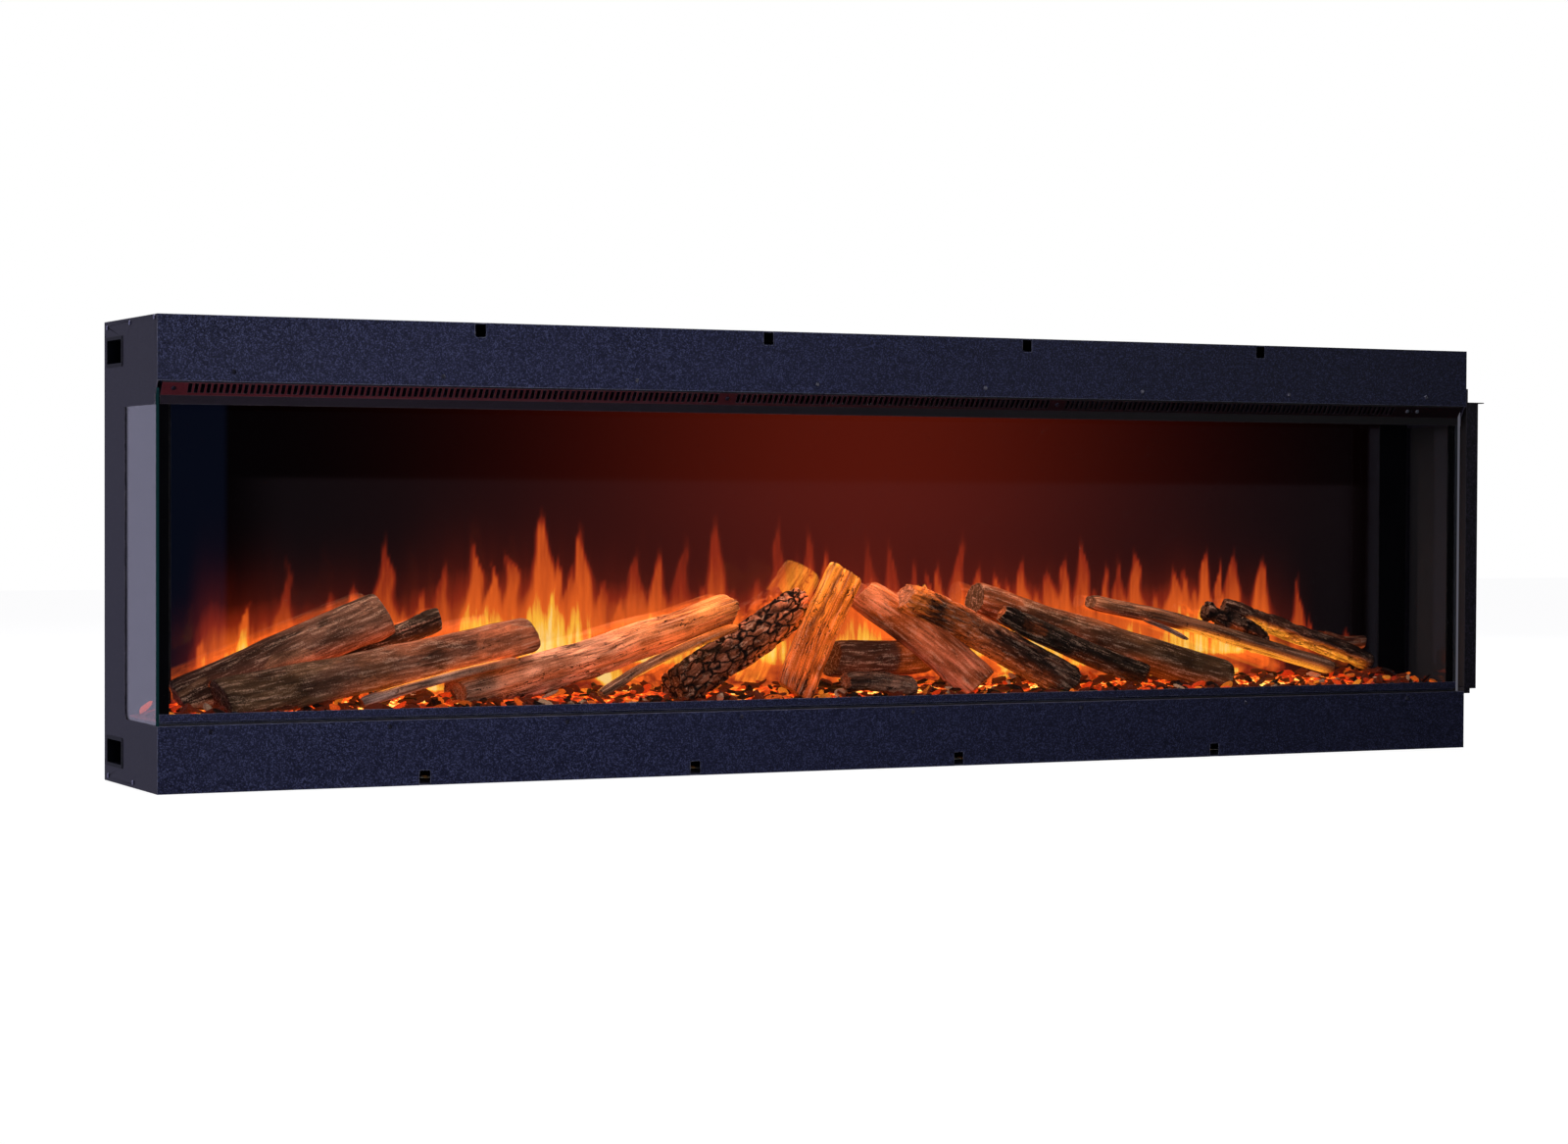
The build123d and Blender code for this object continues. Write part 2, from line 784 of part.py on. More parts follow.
def rod_bracket():
    """Post with a bore that carries the inner ends of both rods."""
    y = (rod_y - rod_bracket_depth / 2, rod_y + rod_bracket_depth / 2)
    post = block((-rod_inner, rod_inner), y, (2 * sheet, rod_height + rod_bracket_rise))
    bore = bar_x(rod_radius + rod_running_gap, -rod_inner - 1, rod_inner + 1, rod_y, rod_height)
    foot = block((-rod_inner - rod_bracket_toe, rod_inner + rod_bracket_toe), y, (sheet, 2 * sheet))
    return post + foot - bore


def flicker_motor(side):
    """Small geared motor on a post, with a socket for the rod's outer end."""
    far_end = rod_outer + rod_motor_length
    x = both(rod_outer, far_end, side)
    can = bar_x(rod_motor_radius, x[0], x[1], rod_y, rod_height)
    socket_x = both(rod_outer - 1, rod_outer + rod_motor_socket, side)
    socket = bar_x(rod_radius + rod_running_gap, socket_x[0], socket_x[1], rod_y, rod_height)
    post_x = both(far_end - rod_motor_post, far_end, side)
    y = (rod_y - rod_bracket_depth / 2, rod_y + rod_bracket_depth / 2)
    post = block(post_x, y, (sheet, rod_height))
    foot_x = both(far_end - rod_motor_toe, far_end, side)
    foot = block(foot_x, y, (sheet, 2 * sheet))
    return can + post + foot - socket


def light_strip(y, z):
    """Narrow circuit board along X with a row of lamps on top."""
    reach = half - strip_end_inset
    board = block((-reach, reach), (y - strip_width / 2, y + strip_width / 2), (z, z + strip_thickness))
    lamp = Box(*lamp_size)
    lamp_z = z + strip_thickness + lamp_size[2] / 2
    places = even(-reach + lamp_pitch, reach - lamp_pitch, lamp_pitch)
    return board + [Pos(x, y, lamp_z) * lamp for x in places]


def light_rail():
    """Angle on the rear panel that carries the flame light strip."""
    back = rear - sheet
    profile = [(back - rail_depth, rail_height), (back, rail_height), (back, rail_height + rail_upstand)]
    reach = half - strip_end_inset + rail_overhang
    return bent_sheet(profile, sheet, -reach, reach)


# Fan heater

fan_y = front + fan_from_front
fan_z = lip_top + duct_wall + scroll_radius + fan_lift
duct_low = fan_z - scroll_radius
duct_front = front + sheet + lip_setback + duct_setback
fan_half = fan_length / 2


def chamber_ceiling():
    """Sheet over the glass chamber, which is the floor of the heater space."""
    y = (lip_front + sheet + glass_gap, rear - sheet)
    return block((-seal_inner, seal_inner), y, (ceiling_under, lip_top))


def heater_housing():
    """Scroll around the fan wheel with a duct to the outlet and an inlet along its top."""
    wall = duct_wall
    outer = bar_x(scroll_radius + wall, -fan_half - wall, fan_half + wall, fan_y, fan_z)
    outer += block(
        (-fan_half - wall, fan_half + wall),
        (duct_front, fan_y),
        (duct_low - wall, duct_low + duct_height + wall),
    )
    inner = bar_x(scroll_radius, -fan_half, fan_half, fan_y, fan_z)
    inner += block((-fan_half, fan_half), (duct_front - 1, fan_y), (duct_low, duct_low + duct_height))
    inlet = block(
        (-fan_half + inlet_end_land, fan_half - inlet_end_land),
        (fan_y, fan_y + inlet_width),
        (fan_z, fan_z + 2 * scroll_radius),
    )
    bore_reach = fan_half + 2 * wall
    end_bore = bar_x(shaft_radius + shaft_hole_gap, -bore_reach, bore_reach, fan_y, fan_z)
    return outer - inner - inlet - end_bore


def impeller():
    """Cross-flow wheel: a ring of leaning blades held by discs."""
    wheel = []
    gap = (impeller_length - impeller_disc_thickness) / (impeller_disc_count - 1)
    bore = Cylinder(shaft_radius, 2 * impeller_disc_thickness)
    disc = Cylinder(impeller_radius, impeller_disc_thickness) - bore
    for index in range(impeller_disc_count):
        x = -impeller_length / 2 + impeller_disc_thickness / 2 + index * gap
        wheel.append(Pos(x, fan_y, fan_z) * Rot(0, 90, 0) * disc)
    blade = Box(impeller_length, blade_depth, blade_thickness)
    reach = impeller_radius - blade_depth / 2 - blade_inset
    for index in range(blade_count):
        turn = Rot(index * 360 / blade_count, 0, 0)
        wheel.append(Pos(0, fan_y, fan_z) * turn * Pos(0, reach, 0) * Rot(blade_lean, 0, 0) * blade)
    whole = wheel[0]
    whole += wheel[1:]
    return whole


def fan_shaft():
    """Shaft through the wheel, from the bearing on the left into the motor on the right."""
    left = -fan_half - duct_wall - fan_bearing_length
    right = fan_half + duct_wall + fan_motor_socket - shaft_end_float
    return bar_x(shaft_radius, left, right, fan_y, fan_z)


def fan_bearing():
    """Sleeve bearing on the left end of the housing."""
    face = -fan_half - duct_wall
    ring = bar_x(fan_bearing_radius, face - fan_bearing_length, face, fan_y, fan_z)
    gap = shaft_radius + shaft_running_gap
    return ring - bar_x(gap, face - fan_bearing_length - 1, face + 1, fan_y, fan_z)


def fan_motor():
    """Motor on the right end of the housing, with a socket for the shaft."""
    face = fan_half + duct_wall
    can = bar_x(fan_motor_radius, face, face + fan_motor_length, fan_y, fan_z)
    gap = shaft_radius + shaft_running_gap
    return can - bar_x(gap, face - 1, face + fan_motor_socket, fan_y, fan_z)


def heating_element():
    """Flat element in the duct: two rails joined by a row of fins."""
    y = duct_front + element_from_duct_front
    low = duct_low + (duct_height - element_height) / 2
    reach = element_length / 2
    rail_z = [(low, low + element_rail), (low + element_height - element_rail, low + element_height)]
    element = block((-reach, reach), (y, y + element_depth), rail_z[0])
    fin = Box(element_fin_thickness, element_depth, element_height)
    places = even(-reach + element_fin_inset, reach - element_fin_inset, element_fin_pitch)
    middle = (y + element_depth / 2, low + element_height / 2)
    element += block((-reach, reach), (y, y + element_depth), rail_z[1])
    return element + [Pos(x, *middle) * fin for x in places]


def thermal_cutout():
    """Round safety thermostat on top of the duct."""
    top = duct_low + duct_height + duct_wall
    x = cutout_place[0]
    y = duct_front + cutout_place[1]
    can = Pos(x, y, top + cutout_height / 2) * Cylinder(cutout_radius, cutout_height)
    tab_z = top + cutout_height + cutout_tab[2] / 2 - cutout_tab[1]
    for shift in (-cutout_tab_spacing / 2, cutout_tab_spacing / 2):
        can += Pos(x + shift, y, tab_z) * Box(*cutout_tab)
    return can


# Electrics

box_x = half - control_box_from_side
box_rear = screen_rear + cutter_standoff - control_box_gap
box_span_x = (box_x - control_box_size[0], box_x)
box_span_y = (box_rear - control_box_size[1], box_rear)


def control_box():
    """Tray with a separate lid, on the base behind the bed."""
    shell = block(box_span_x, box_span_y, (sheet, sheet + control_box_size[2]))
    wall = control_box_wall
    shell -= block(
        (box_span_x[0] + wall, box_span_x[1] - wall),
        (box_span_y[0] + wall, box_span_y[1] - wall),
        (sheet + wall, sheet + control_box_size[2] + wall),
    )
    return shell


def control_box_lid():
    """Flat lid of the control box."""
    z = sheet + control_box_size[2]
    return block(box_span_x, box_span_y, (z, z + control_box_wall))


def control_board():
    """Circuit board with a transformer, two relays and a row of capacitors."""
    low = sheet + control_box_wall + board_standoff
    x_end = box_span_x[1] - board_inset - terminal_size[0] - board_terminal_gap
    x = (box_span_x[0] + board_inset, x_end)
    y = (box_span_y[0] + board_inset, box_span_y[1] - board_inset)
    board = block(x, y, (low, low + strip_thickness))
    top = low + strip_thickness
    for across, behind, length, deep, tall in board_parts:
        part_x = x[0] + across
        part_y = y[0] + behind
        board += block((part_x, part_x + length), (part_y, part_y + deep), (top, top + tall))
    can = Cylinder(capacitor_radius, capacitor_height)
    for index in range(capacitor_count):
        can_x = x[0] + capacitor_first + capacitor_pitch * index
        board += Pos(can_x, y[1] - capacitor_from_rear, top + capacitor_height / 2) * can
    post = Cylinder(board_post_radius, board_standoff)
    for corner_x in (x[0] + board_post_inset, x[1] - board_post_inset):
        for corner_y in (y[0] + board_post_inset, y[1] - board_post_inset):
            board += Pos(corner_x, corner_y, low - board_standoff / 2) * post
    return board


def terminal_block():
    """Screw terminals where the mains cable is joined."""
    x_end = box_span_x[1] - control_box_wall - terminal_wall_gap
    x = (x_end - terminal_size[0], x_end)
    y_low = box_span_y[1] - control_box_wall - terminal_size[1] - terminal_from_rear
    z = sheet + control_box_wall
    body = block(x, (y_low, y_low + terminal_size[1]), (z, z + terminal_size[2]))
    well = Cylinder(*terminal_well)
    for index in range(terminal_count):
        place = x[0] + terminal_size[0] * (index + 0.5) / terminal_count
        body -= Pos(place, y_low + terminal_size[1] / 2, z + terminal_size[2]) * well
    return body


def light_driver():
    """Power supply for the light strips, on the base beside the control box."""
    x = box_span_x[0] - driver_gap
    y = box_span_y[0] + driver_from_front
    case = block((x - driver_size[0], x), (y, y + driver_size[1]), (sheet, sheet + driver_size[2]))
    return chamfer(case.edges().group_by(Axis.Z)[-1], driver_chamfer)


def cable_gland():
    """Rubber bush through the rear panel, bored for the mains cable."""
    middle = Plane(origin=(half - gland_from_side, rear, gland_height), z_dir=(0, 1, 0))
    inside_length = gland_length - gland_flange_thickness
    body = Pos(0, 0, -inside_length / 2) * Cylinder(gland_radius, inside_length)
    flange = Pos(0, 0, gland_flange_thickness / 2) * Cylinder(gland_flange_radius, gland_flange_thickness)
    bore = Cylinder(gland_bore_radius, 3 * gland_length)
    return middle * (body + flange - bore)


switch_seat = Plane(
    origin=(half, rear - switch_from_rear, switch_height), x_dir=(0, 1, 0), z_dir=(1, 0, 0)
)


def switch_shell():
    """Body of the mains switch, with a bezel on the side panel and a cavity for the rocker."""
    wide, tall = switch_body
    body = Pos(0, 0, -switch_body_depth / 2) * Box(wide, tall, switch_body_depth)
    rim = Box(wide + 2 * switch_bezel, tall + 2 * switch_bezel, switch_bezel_proud)
    body += Pos(0, 0, switch_bezel_proud / 2) * rim
    cavity = Box(switch_cavity[0], switch_cavity[1], switch_cavity_depth + switch_bezel_proud)
    body -= Pos(0, 0, (switch_bezel_proud - switch_cavity_depth) / 2) * cavity
    pin_length = switch_cavity[0] + 2 * (rocker_pin_reach + rocker_pin_end_gap)
    pin_bore = Rot(0, 90, 0) * Cylinder(rocker_pin_radius + rocker_pin_gap, pin_length)
    body -= Pos(0, 0, -rocker_pin_depth) * pin_bore
    return switch_seat * body


def rocker():
    """Rocker with a shallow V face on a cross pin, tipped to its off position."""
    reach = rocker_size[1] / 2
    outline = Polyline(
        (-reach, rocker_edge_rise),
        (0, rocker_middle_rise),
        (reach, rocker_edge_rise),
        (reach * 0.92, -rocker_depth * 0.4),
        (reach * 0.35, -rocker_depth),
        (-reach * 0.35, -rocker_depth),
        (-reach * 0.92, -rocker_depth * 0.4),
        close=True,
    )
    key = extrude(Plane.YZ * make_face(outline), rocker_size[0] / 2, both=True)
    pin_length = switch_cavity[0] + 2 * rocker_pin_reach
    key += Rot(0, 90, 0) * Cylinder(rocker_pin_radius, pin_length)
    return switch_seat * Pos(0, 0, -rocker_pin_depth) * Rot(rocker_tilt, 0, 0) * key


# Logs: name, foot (across, behind the glass), head (across, behind the glass, height over the bed),
# and the radius at each end. Across and behind are measured on the unstretched set.

log_set_reach = 958.0
log_set_depth = 120.2
log_end_room = 40.0
log_rest_gap = 0.6
large_logs = {
    "log_far_left": ((-947, 66), (-666, 90, 124), (19, 21)),
    "log_long_left": ((-905, 26), (-479, 48, 97), (19, 16)),
    "log_split_long": ((-584, 44), (-164, 100, 123), (18, 16)),
    "log_bark_middle": ((-276, 37), (-59, 94, 129), (19, 17)),
    "log_centre": ((-99, 28), (-8, 53, 174), (20, 19)),
    "log_smooth_right": ((192, 30), (41, 100, 143), (20, 16)),
    "log_rough_right": ((335, 28), (86, 60, 141), (18, 15)),
    "log_big_right": ((610, 48), (218, 90, 136), (18, 16)),
}
small_logs = {
    "back_right": ((789, 36, 30), (418, 104, 128), (13, 12)),
    "far_right": ((903, 86, 33), (650, 106, 121), (11, 10.5)),
    "charred_left": ((-724, 106, 70), (-584, 106, 117), (10, 12)),
    "split_left": ((-722, 15, 14), (-509, 19, 62), (8, 7.5)),
    "slim": ((-392, 15, 18), (-187, 33, 102), (8, 7.5)),
    "front_stub": ((-26, 18, 26), (77, 18, 17), (11, 10.5)),
    "back_low": ((-10, 93, 53), (149, 94, 56), (20, 18)),
    "charred_right": ((459, 24, 24), (237, 48, 117), (13, 12)),
    "splinter": ((530, 22, 75), (458, 28, 107), (4, 3)),
    "back_stub": ((706, 82, 66), (602, 84, 114), (12, 11)),
    "far_stub": ((906, 109, 62), (834, 109, 71), (8, 7.5)),
    "glow_stub": ((174, 109, 119), (142, 109, 150), (8, 7.5)),
}
log_stretch = (half - log_end_room) / log_set_reach
log_depth_stretch = bed_depth / log_set_depth


def log_point(across, behind, over):
    """A point of the log set, placed on the bed of this size."""
    return Vector(across * log_stretch, bed_front + behind * log_depth_stretch, bed_top + over)


def log(foot, head, radii):
    """Tapered round log between two points, square cut at both ends."""
    axis = head - foot
    body = Cone(radii[0], radii[1], axis.length)
    return Plane(origin=(foot + head) * 0.5, z_dir=axis) * body


def leaning_log(foot, head, radii):
    """A log whose lower rim rests on the bed."""
    high = log_point(*head)
    low = log_point(*foot, radii[0])
    for _ in range(3):
        slope = (high - low).normalized()
        rim_drop = radii[0] * math.hypot(slope.X, slope.Y)
        low = log_point(*foot, rim_drop + log_rest_gap)
    return log(low, high, radii)


# Output: one file for each node

save("base_tray", base_tray())
save("top_panel", top_panel())
save("upper_fascia", upper_fascia())
save("lower_fascia", lower_fascia())
save("lower_front_rail", lower_front_rail())
save("rear_panel", rear_panel())
save("left_side_panel", side_panel(-1))
save("right_side_panel", side_panel(1))
all_screws = upper_screws + lower_screws + outlet_screws + side_screws + rear_screws
save("case_screws", *[screw(*place) for place in all_screws])
sides = (-1, 1)
grip_heights = (grip_end_inset, height - grip_end_inset)
save("grip_cups", *[grip_cup(side, z) for side in sides for z in grip_heights])
save("corner_seals", *[corner_seal(side) for side in sides])
save("screen_ends", *[screen_end(side) for side in sides])
save("flicker_motors", *[flicker_motor(side) for side in sides])
for side, label in zip(sides, ("left", "right")):
    save(f"{label}_glass", side_glass(side))
    save(f"{label}_flicker_rod", flicker_rod(side))
save("outlet_grille", outlet_grille())
save("button_module", button_module())
save("power_button", push_button(button_places[0]))
save("mode_button", push_button(button_places[1]))
save("remote_receiver", receiver())
save("front_glass", front_glass())
save("glass_channel", glass_channel())
save("side_cover", side_cover())
save("bed_tray", bed_tray())
bracket_places = spread(bracket_count, width - 2 * bracket_end_room, 0, 0)
save("bed_brackets", *[bed_bracket(x) for x in bracket_places])
save("ember_bed", ember_bed())
save("ember_chips", *ember_chips())
save("flame_screen", flame_screen())
save("flame_cutter", flame_cutter())
save("rod_bracket", rod_bracket())
save("light_rail", light_rail())
save("flame_light_strip", light_strip(rear - sheet - rail_depth / 2, rail_height + sheet))
save("ember_light_strip", light_strip(bed_front + ember_strip_from_glass, 2 * sheet + strip_lift))
save("chamber_ceiling", chamber_ceiling())
save("heater_housing", heater_housing())
save("impeller", impeller())
save("fan_shaft", fan_shaft())
save("fan_bearing", fan_bearing())
save("fan_motor", fan_motor())
save("heating_element", heating_element())
save("thermal_cutout", thermal_cutout())
save("control_box", control_box())
save("control_box_lid", control_box_lid())
save("control_board", control_board())
save("terminal_block", terminal_block())
save("light_driver", light_driver())
save("cable_gland", cable_gland())
save("mains_switch", switch_shell())
save("mains_rocker", rocker())
for name, (foot, head, radii) in large_logs.items():
    save(name, leaning_log(foot, head, radii))
save("small_logs", *[log(log_point(*a), log_point(*b), radii) for a, b, radii in small_logs.values()])
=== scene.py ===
"""Looks for a wide built-in electric fire: glass chamber, log set, ember bed, flame screen and steel case."""

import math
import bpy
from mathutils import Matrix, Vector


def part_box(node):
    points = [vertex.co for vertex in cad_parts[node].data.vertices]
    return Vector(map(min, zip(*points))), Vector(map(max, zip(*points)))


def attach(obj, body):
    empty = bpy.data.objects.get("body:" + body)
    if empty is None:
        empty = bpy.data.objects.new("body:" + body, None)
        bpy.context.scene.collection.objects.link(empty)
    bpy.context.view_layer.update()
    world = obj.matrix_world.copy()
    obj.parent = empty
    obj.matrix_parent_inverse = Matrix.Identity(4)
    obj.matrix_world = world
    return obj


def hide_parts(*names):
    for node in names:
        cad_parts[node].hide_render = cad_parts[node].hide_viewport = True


bl_info = {
    "name": "Built-in electric fire",
    "version": (1, 0, 0),
    "blender": (4, 5, 0),
    "location": "3D View > Sidebar > Electric fire",
    "description": "Dresses the electric fire and builds its logs, embers, flames and studio",
    "category": "Object",
}

import bmesh
import bpy
import numpy as np
from bpy.props import (
    FloatProperty,
    FloatVectorProperty,
    IntProperty,
    PointerProperty,
)
from mathutils import Matrix, Vector

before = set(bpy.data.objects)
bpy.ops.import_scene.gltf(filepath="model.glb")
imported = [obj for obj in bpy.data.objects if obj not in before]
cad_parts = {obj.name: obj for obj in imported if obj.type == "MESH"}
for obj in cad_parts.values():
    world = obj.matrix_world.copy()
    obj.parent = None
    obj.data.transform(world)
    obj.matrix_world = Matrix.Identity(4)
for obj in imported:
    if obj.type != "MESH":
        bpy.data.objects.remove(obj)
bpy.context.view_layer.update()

MM = 0.001
FIXED = "case"


def srgb(red, green, blue):
    """Scene-linear colour from display values of 0 to 255."""
    shares = (red / 255, green / 255, blue / 255)
    return tuple(v / 12.92 if v <= 0.04045 else ((v + 0.055) / 1.055) ** 2.4 for v in shares)


# Settings


def paint_setting(name, description, *colour):
    """A colour that the user can change, given as display values."""
    return FloatVectorProperty(
        name=name,
        description=description,
        default=srgb(*colour),
        subtype="COLOR",
        size=3,
        min=0.0,
        max=1.0,
    )


def length_setting(name, description, millimetres):
    """A length that the user can change."""
    return FloatProperty(
        name=name, description=description, default=millimetres * MM, min=0.0, unit="LENGTH"
    )


def count_setting(name, description, count, least=8):
    """A whole number that the user can change."""
    return IntProperty(name=name, description=description, default=count, min=least)


class FireColours(bpy.types.PropertyGroup):
    """Colours of the finishes."""

    case: paint_setting("Case", "Powder coat of the case", 22, 24, 46)
    case_fleck: paint_setting("Case fleck", "Light specks in the powder coat", 66, 70, 104)
    cover: paint_setting("Side cover", "Powder coat of the cover over the right side glass", 13, 11, 19)
    # Painted glow: the fire's red light painted on the outlet's sloped face.
    outlet_painted_glow: paint_setting("Outlet", "Sloped face of the warm air outlet", 70, 25, 32)
    lining: paint_setting("Lining", "Black paint inside the glass chamber", 9, 9, 12)
    flame_tip: paint_setting("Flame tip", "Cool top of a flame", 150, 42, 14)
    flame_body: paint_setting("Flame body", "Middle of a flame", 226, 96, 28)
    flame_heart: paint_setting("Flame heart", "Hot foot of a flame", 255, 186, 58)
    # Painted glow: a red emission high on the flame screen.
    painted_back_glow: paint_setting("Back glow", "Glow high on the flame screen", 84, 20, 9)


class FireSizes(bpy.types.PropertyGroup):
    """Sizes of the details that the looks add."""

    edge: length_setting("Edge radius", "Rounding of the folded and cut steel edges", 0.35)
    fleck: length_setting("Fleck", "Size of the specks in the powder coat", 1.6)
    flame_cell: length_setting("Flame cell", "Spacing of the flame screen's mesh", 4.0)
    chip: length_setting("Chip", "Middle length of a bark chip", 19.0)
    chip_count: count_setting("Chips", "Number of bark chips", 1200, least=1)
    log_rings: count_setting("Log rings", "Rings of mesh along a large log", 170)
    log_sides: count_setting("Log sides", "Points of mesh round a large log", 72)


def colours():
    """The colours in use."""
    return bpy.context.scene.fire_colours


def sizes():
    """The sizes in use."""
    return bpy.context.scene.fire_sizes


# Node trees


def node(tree, kind, inputs=None, **settings):
    """A new node, with its settings and with each input set to a value or joined to a socket."""
    made = tree.nodes.new("ShaderNode" + kind)
    for name, value in settings.items():
        setattr(made, name, value)
    for name, value in (inputs or {}).items():
        if isinstance(value, bpy.types.NodeSocket):
            tree.links.new(value, made.inputs[name])
        elif isinstance(value, tuple) and len(value) == 3 and made.inputs[name].type == "RGBA":
            made.inputs[name].default_value = (*value, 1.0)
        else:
            made.inputs[name].default_value = value
    return made


def maths(tree, operation, first, second=0.0):
    """The result of one sum."""
    return node(tree, "Math", {0: first, 1: second}, operation=operation).outputs[0]


def blended(tree, share, low, high, kind="MIX"):
    """A colour between two others."""
    inputs = {0: share, 6: low, 7: high}
    return node(tree, "Mix", inputs, data_type="RGBA", blend_type=kind, clamp_factor=True).outputs[2]


def between(tree, value, low, high, start=0.0, end=1.0):
    """A value taken from the range low to high into start to end, smoothly and clamped."""
    inputs = {0: value, 1: low, 2: high, 3: start, 4: end}
    return node(tree, "MapRange", inputs, interpolation_type="SMOOTHSTEP").outputs[0]


def scaled(tree, vector, amounts):
    """A vector with each axis multiplied by its own amount."""
    return node(tree, "VectorMath", {0: vector, 1: amounts}, operation="MULTIPLY").outputs[0]


def cloud(tree, vector, scale, detail=2.0, rough=0.5):
    """Soft noise from 0 to 1."""
    inputs = {"Vector": vector, "Scale": scale, "Detail": detail, "Roughness": rough}
    return node(tree, "TexNoise", inputs).outputs[0]


def place(tree):
    """The point on the piece in its own frame."""
    return node(tree, "TexCoord").outputs["Object"]


def facing(tree, axis):
    """How far the surface faces along an axis, from -1 to 1."""
    return node(tree, "SeparateXYZ", {0: node(tree, "NewGeometry").outputs["Normal"]}).outputs[axis]


def new_group(name, inputs, outputs):
    """An empty node group with its input and output nodes."""
    tree = bpy.data.node_groups.new(name, "ShaderNodeTree")
    for label, kind, value in inputs:
        socket = tree.interface.new_socket(label, in_out="INPUT", socket_type="NodeSocket" + kind)
        if value is not None:
            socket.default_value = value
    for label, kind in outputs:
        tree.interface.new_socket(label, in_out="OUTPUT", socket_type="NodeSocket" + kind)
    return tree, tree.nodes.new("NodeGroupInput"), tree.nodes.new("NodeGroupOutput")


def fleck_group():
    """Specks of a textured powder coat: light specks, dark specks and the height of the skin."""
    name = "Powder fleck"
    if name in bpy.data.node_groups:
        return bpy.data.node_groups[name]
    inputs = [("Size", "Float", 0.0026), ("Contrast", "Float", 0.5)]
    outputs = [("Light", "Float"), ("Dark", "Float"), ("Height", "Float")]
    tree, given, result = new_group(name, inputs, outputs)
    point = place(tree)
    scale = maths(tree, "DIVIDE", 1.0, given.outputs["Size"])
    fine = cloud(tree, point, scale, 1.0, 0.6)
    wide = cloud(tree, point, maths(tree, "MULTIPLY", scale, 0.31), 2.0, 0.6)
    mixed = maths(tree, "ADD", maths(tree, "MULTIPLY", fine, 0.88), maths(tree, "MULTIPLY", wide, 0.12))
    light = between(tree, mixed, 0.5, 0.68)
    dark = between(tree, mixed, 0.5, 0.34)
    tree.links.new(maths(tree, "MULTIPLY", light, given.outputs["Contrast"]), result.inputs["Light"])
    tree.links.new(maths(tree, "MULTIPLY", dark, given.outputs["Contrast"]), result.inputs["Dark"])
    tree.links.new(mixed, result.inputs["Height"])
    return tree


def edge_wear_and_highlight_group():
    """Where a surface turns over an edge, broken up as rubbed paint is, and used also as a painted highlight
    along the edges.
    """
    name = "Edge wear"
    if name in bpy.data.node_groups:
        return bpy.data.node_groups[name]
    inputs = [("Radius", "Float", 0.001), ("Amount", "Float", 0.5)]
    tree, given, result = new_group(name, inputs, [("Mask", "Float")])
    rounded = node(tree, "Bevel", {"Radius": given.outputs["Radius"]}, samples=4)
    flat = node(tree, "NewGeometry").outputs["Normal"]
    turn = node(tree, "VectorMath", {0: rounded.outputs[0], 1: flat}, operation="DOT_PRODUCT")
    bend = between(tree, turn.outputs["Value"], 0.995, 0.86)
    broken = between(tree, cloud(tree, place(tree), 90.0, 3.0, 0.6), 0.3, 0.6, 0.35, 1.0)
    worn_and_highlit = maths(tree, "MULTIPLY", maths(tree, "MULTIPLY", bend, broken), given.outputs["Amount"])
    tree.links.new(worn_and_highlit, result.inputs["Mask"])
    return tree


def dust_group():
    """Dust that has settled on what faces up."""
    name = "Settled dust"
    if name in bpy.data.node_groups:
        return bpy.data.node_groups[name]
    tree, given, result = new_group(name, [("Amount", "Float", 0.2)], [("Mask", "Float")])
    upward = between(tree, facing(tree, "Z"), 0.3, 0.95)
    patches = between(tree, cloud(tree, place(tree), 14.0, 4.0, 0.65), 0.35, 0.7, 0.25, 1.0)
    laid = maths(tree, "MULTIPLY", maths(tree, "MULTIPLY", upward, patches), given.outputs["Amount"])
    tree.links.new(laid, result.inputs["Mask"])
    return tree


def fibre_group():
    """Wood fibres that run along the first axis of the given vector."""
    name = "Wood fibre"
    if name in bpy.data.node_groups:
        return bpy.data.node_groups[name]
    inputs = [("Vector", "Vector", None), ("Along", "Float", 30.0), ("Across", "Float", 420.0)]
    outputs = [("Shade", "Float"), ("Height", "Float")]
    tree, given, result = new_group(name, inputs, outputs)
    stretch = node(
        tree,
        "CombineXYZ",
        {0: given.outputs["Along"], 1: given.outputs["Across"], 2: given.outputs["Across"]},
    )
    strands = cloud(tree, scaled(tree, given.outputs["Vector"], stretch.outputs[0]), 1.0, 4.0, 0.62)
    specks = cloud(tree, given.outputs["Vector"], 520.0, 3.0, 0.7)
    shade = maths(tree, "ADD", maths(tree, "MULTIPLY", strands, 0.65), maths(tree, "MULTIPLY", specks, 0.35))
    tree.links.new(between(tree, shade, 0.3, 0.7), result.inputs["Shade"])
    tree.links.new(shade, result.inputs["Height"])
    return tree


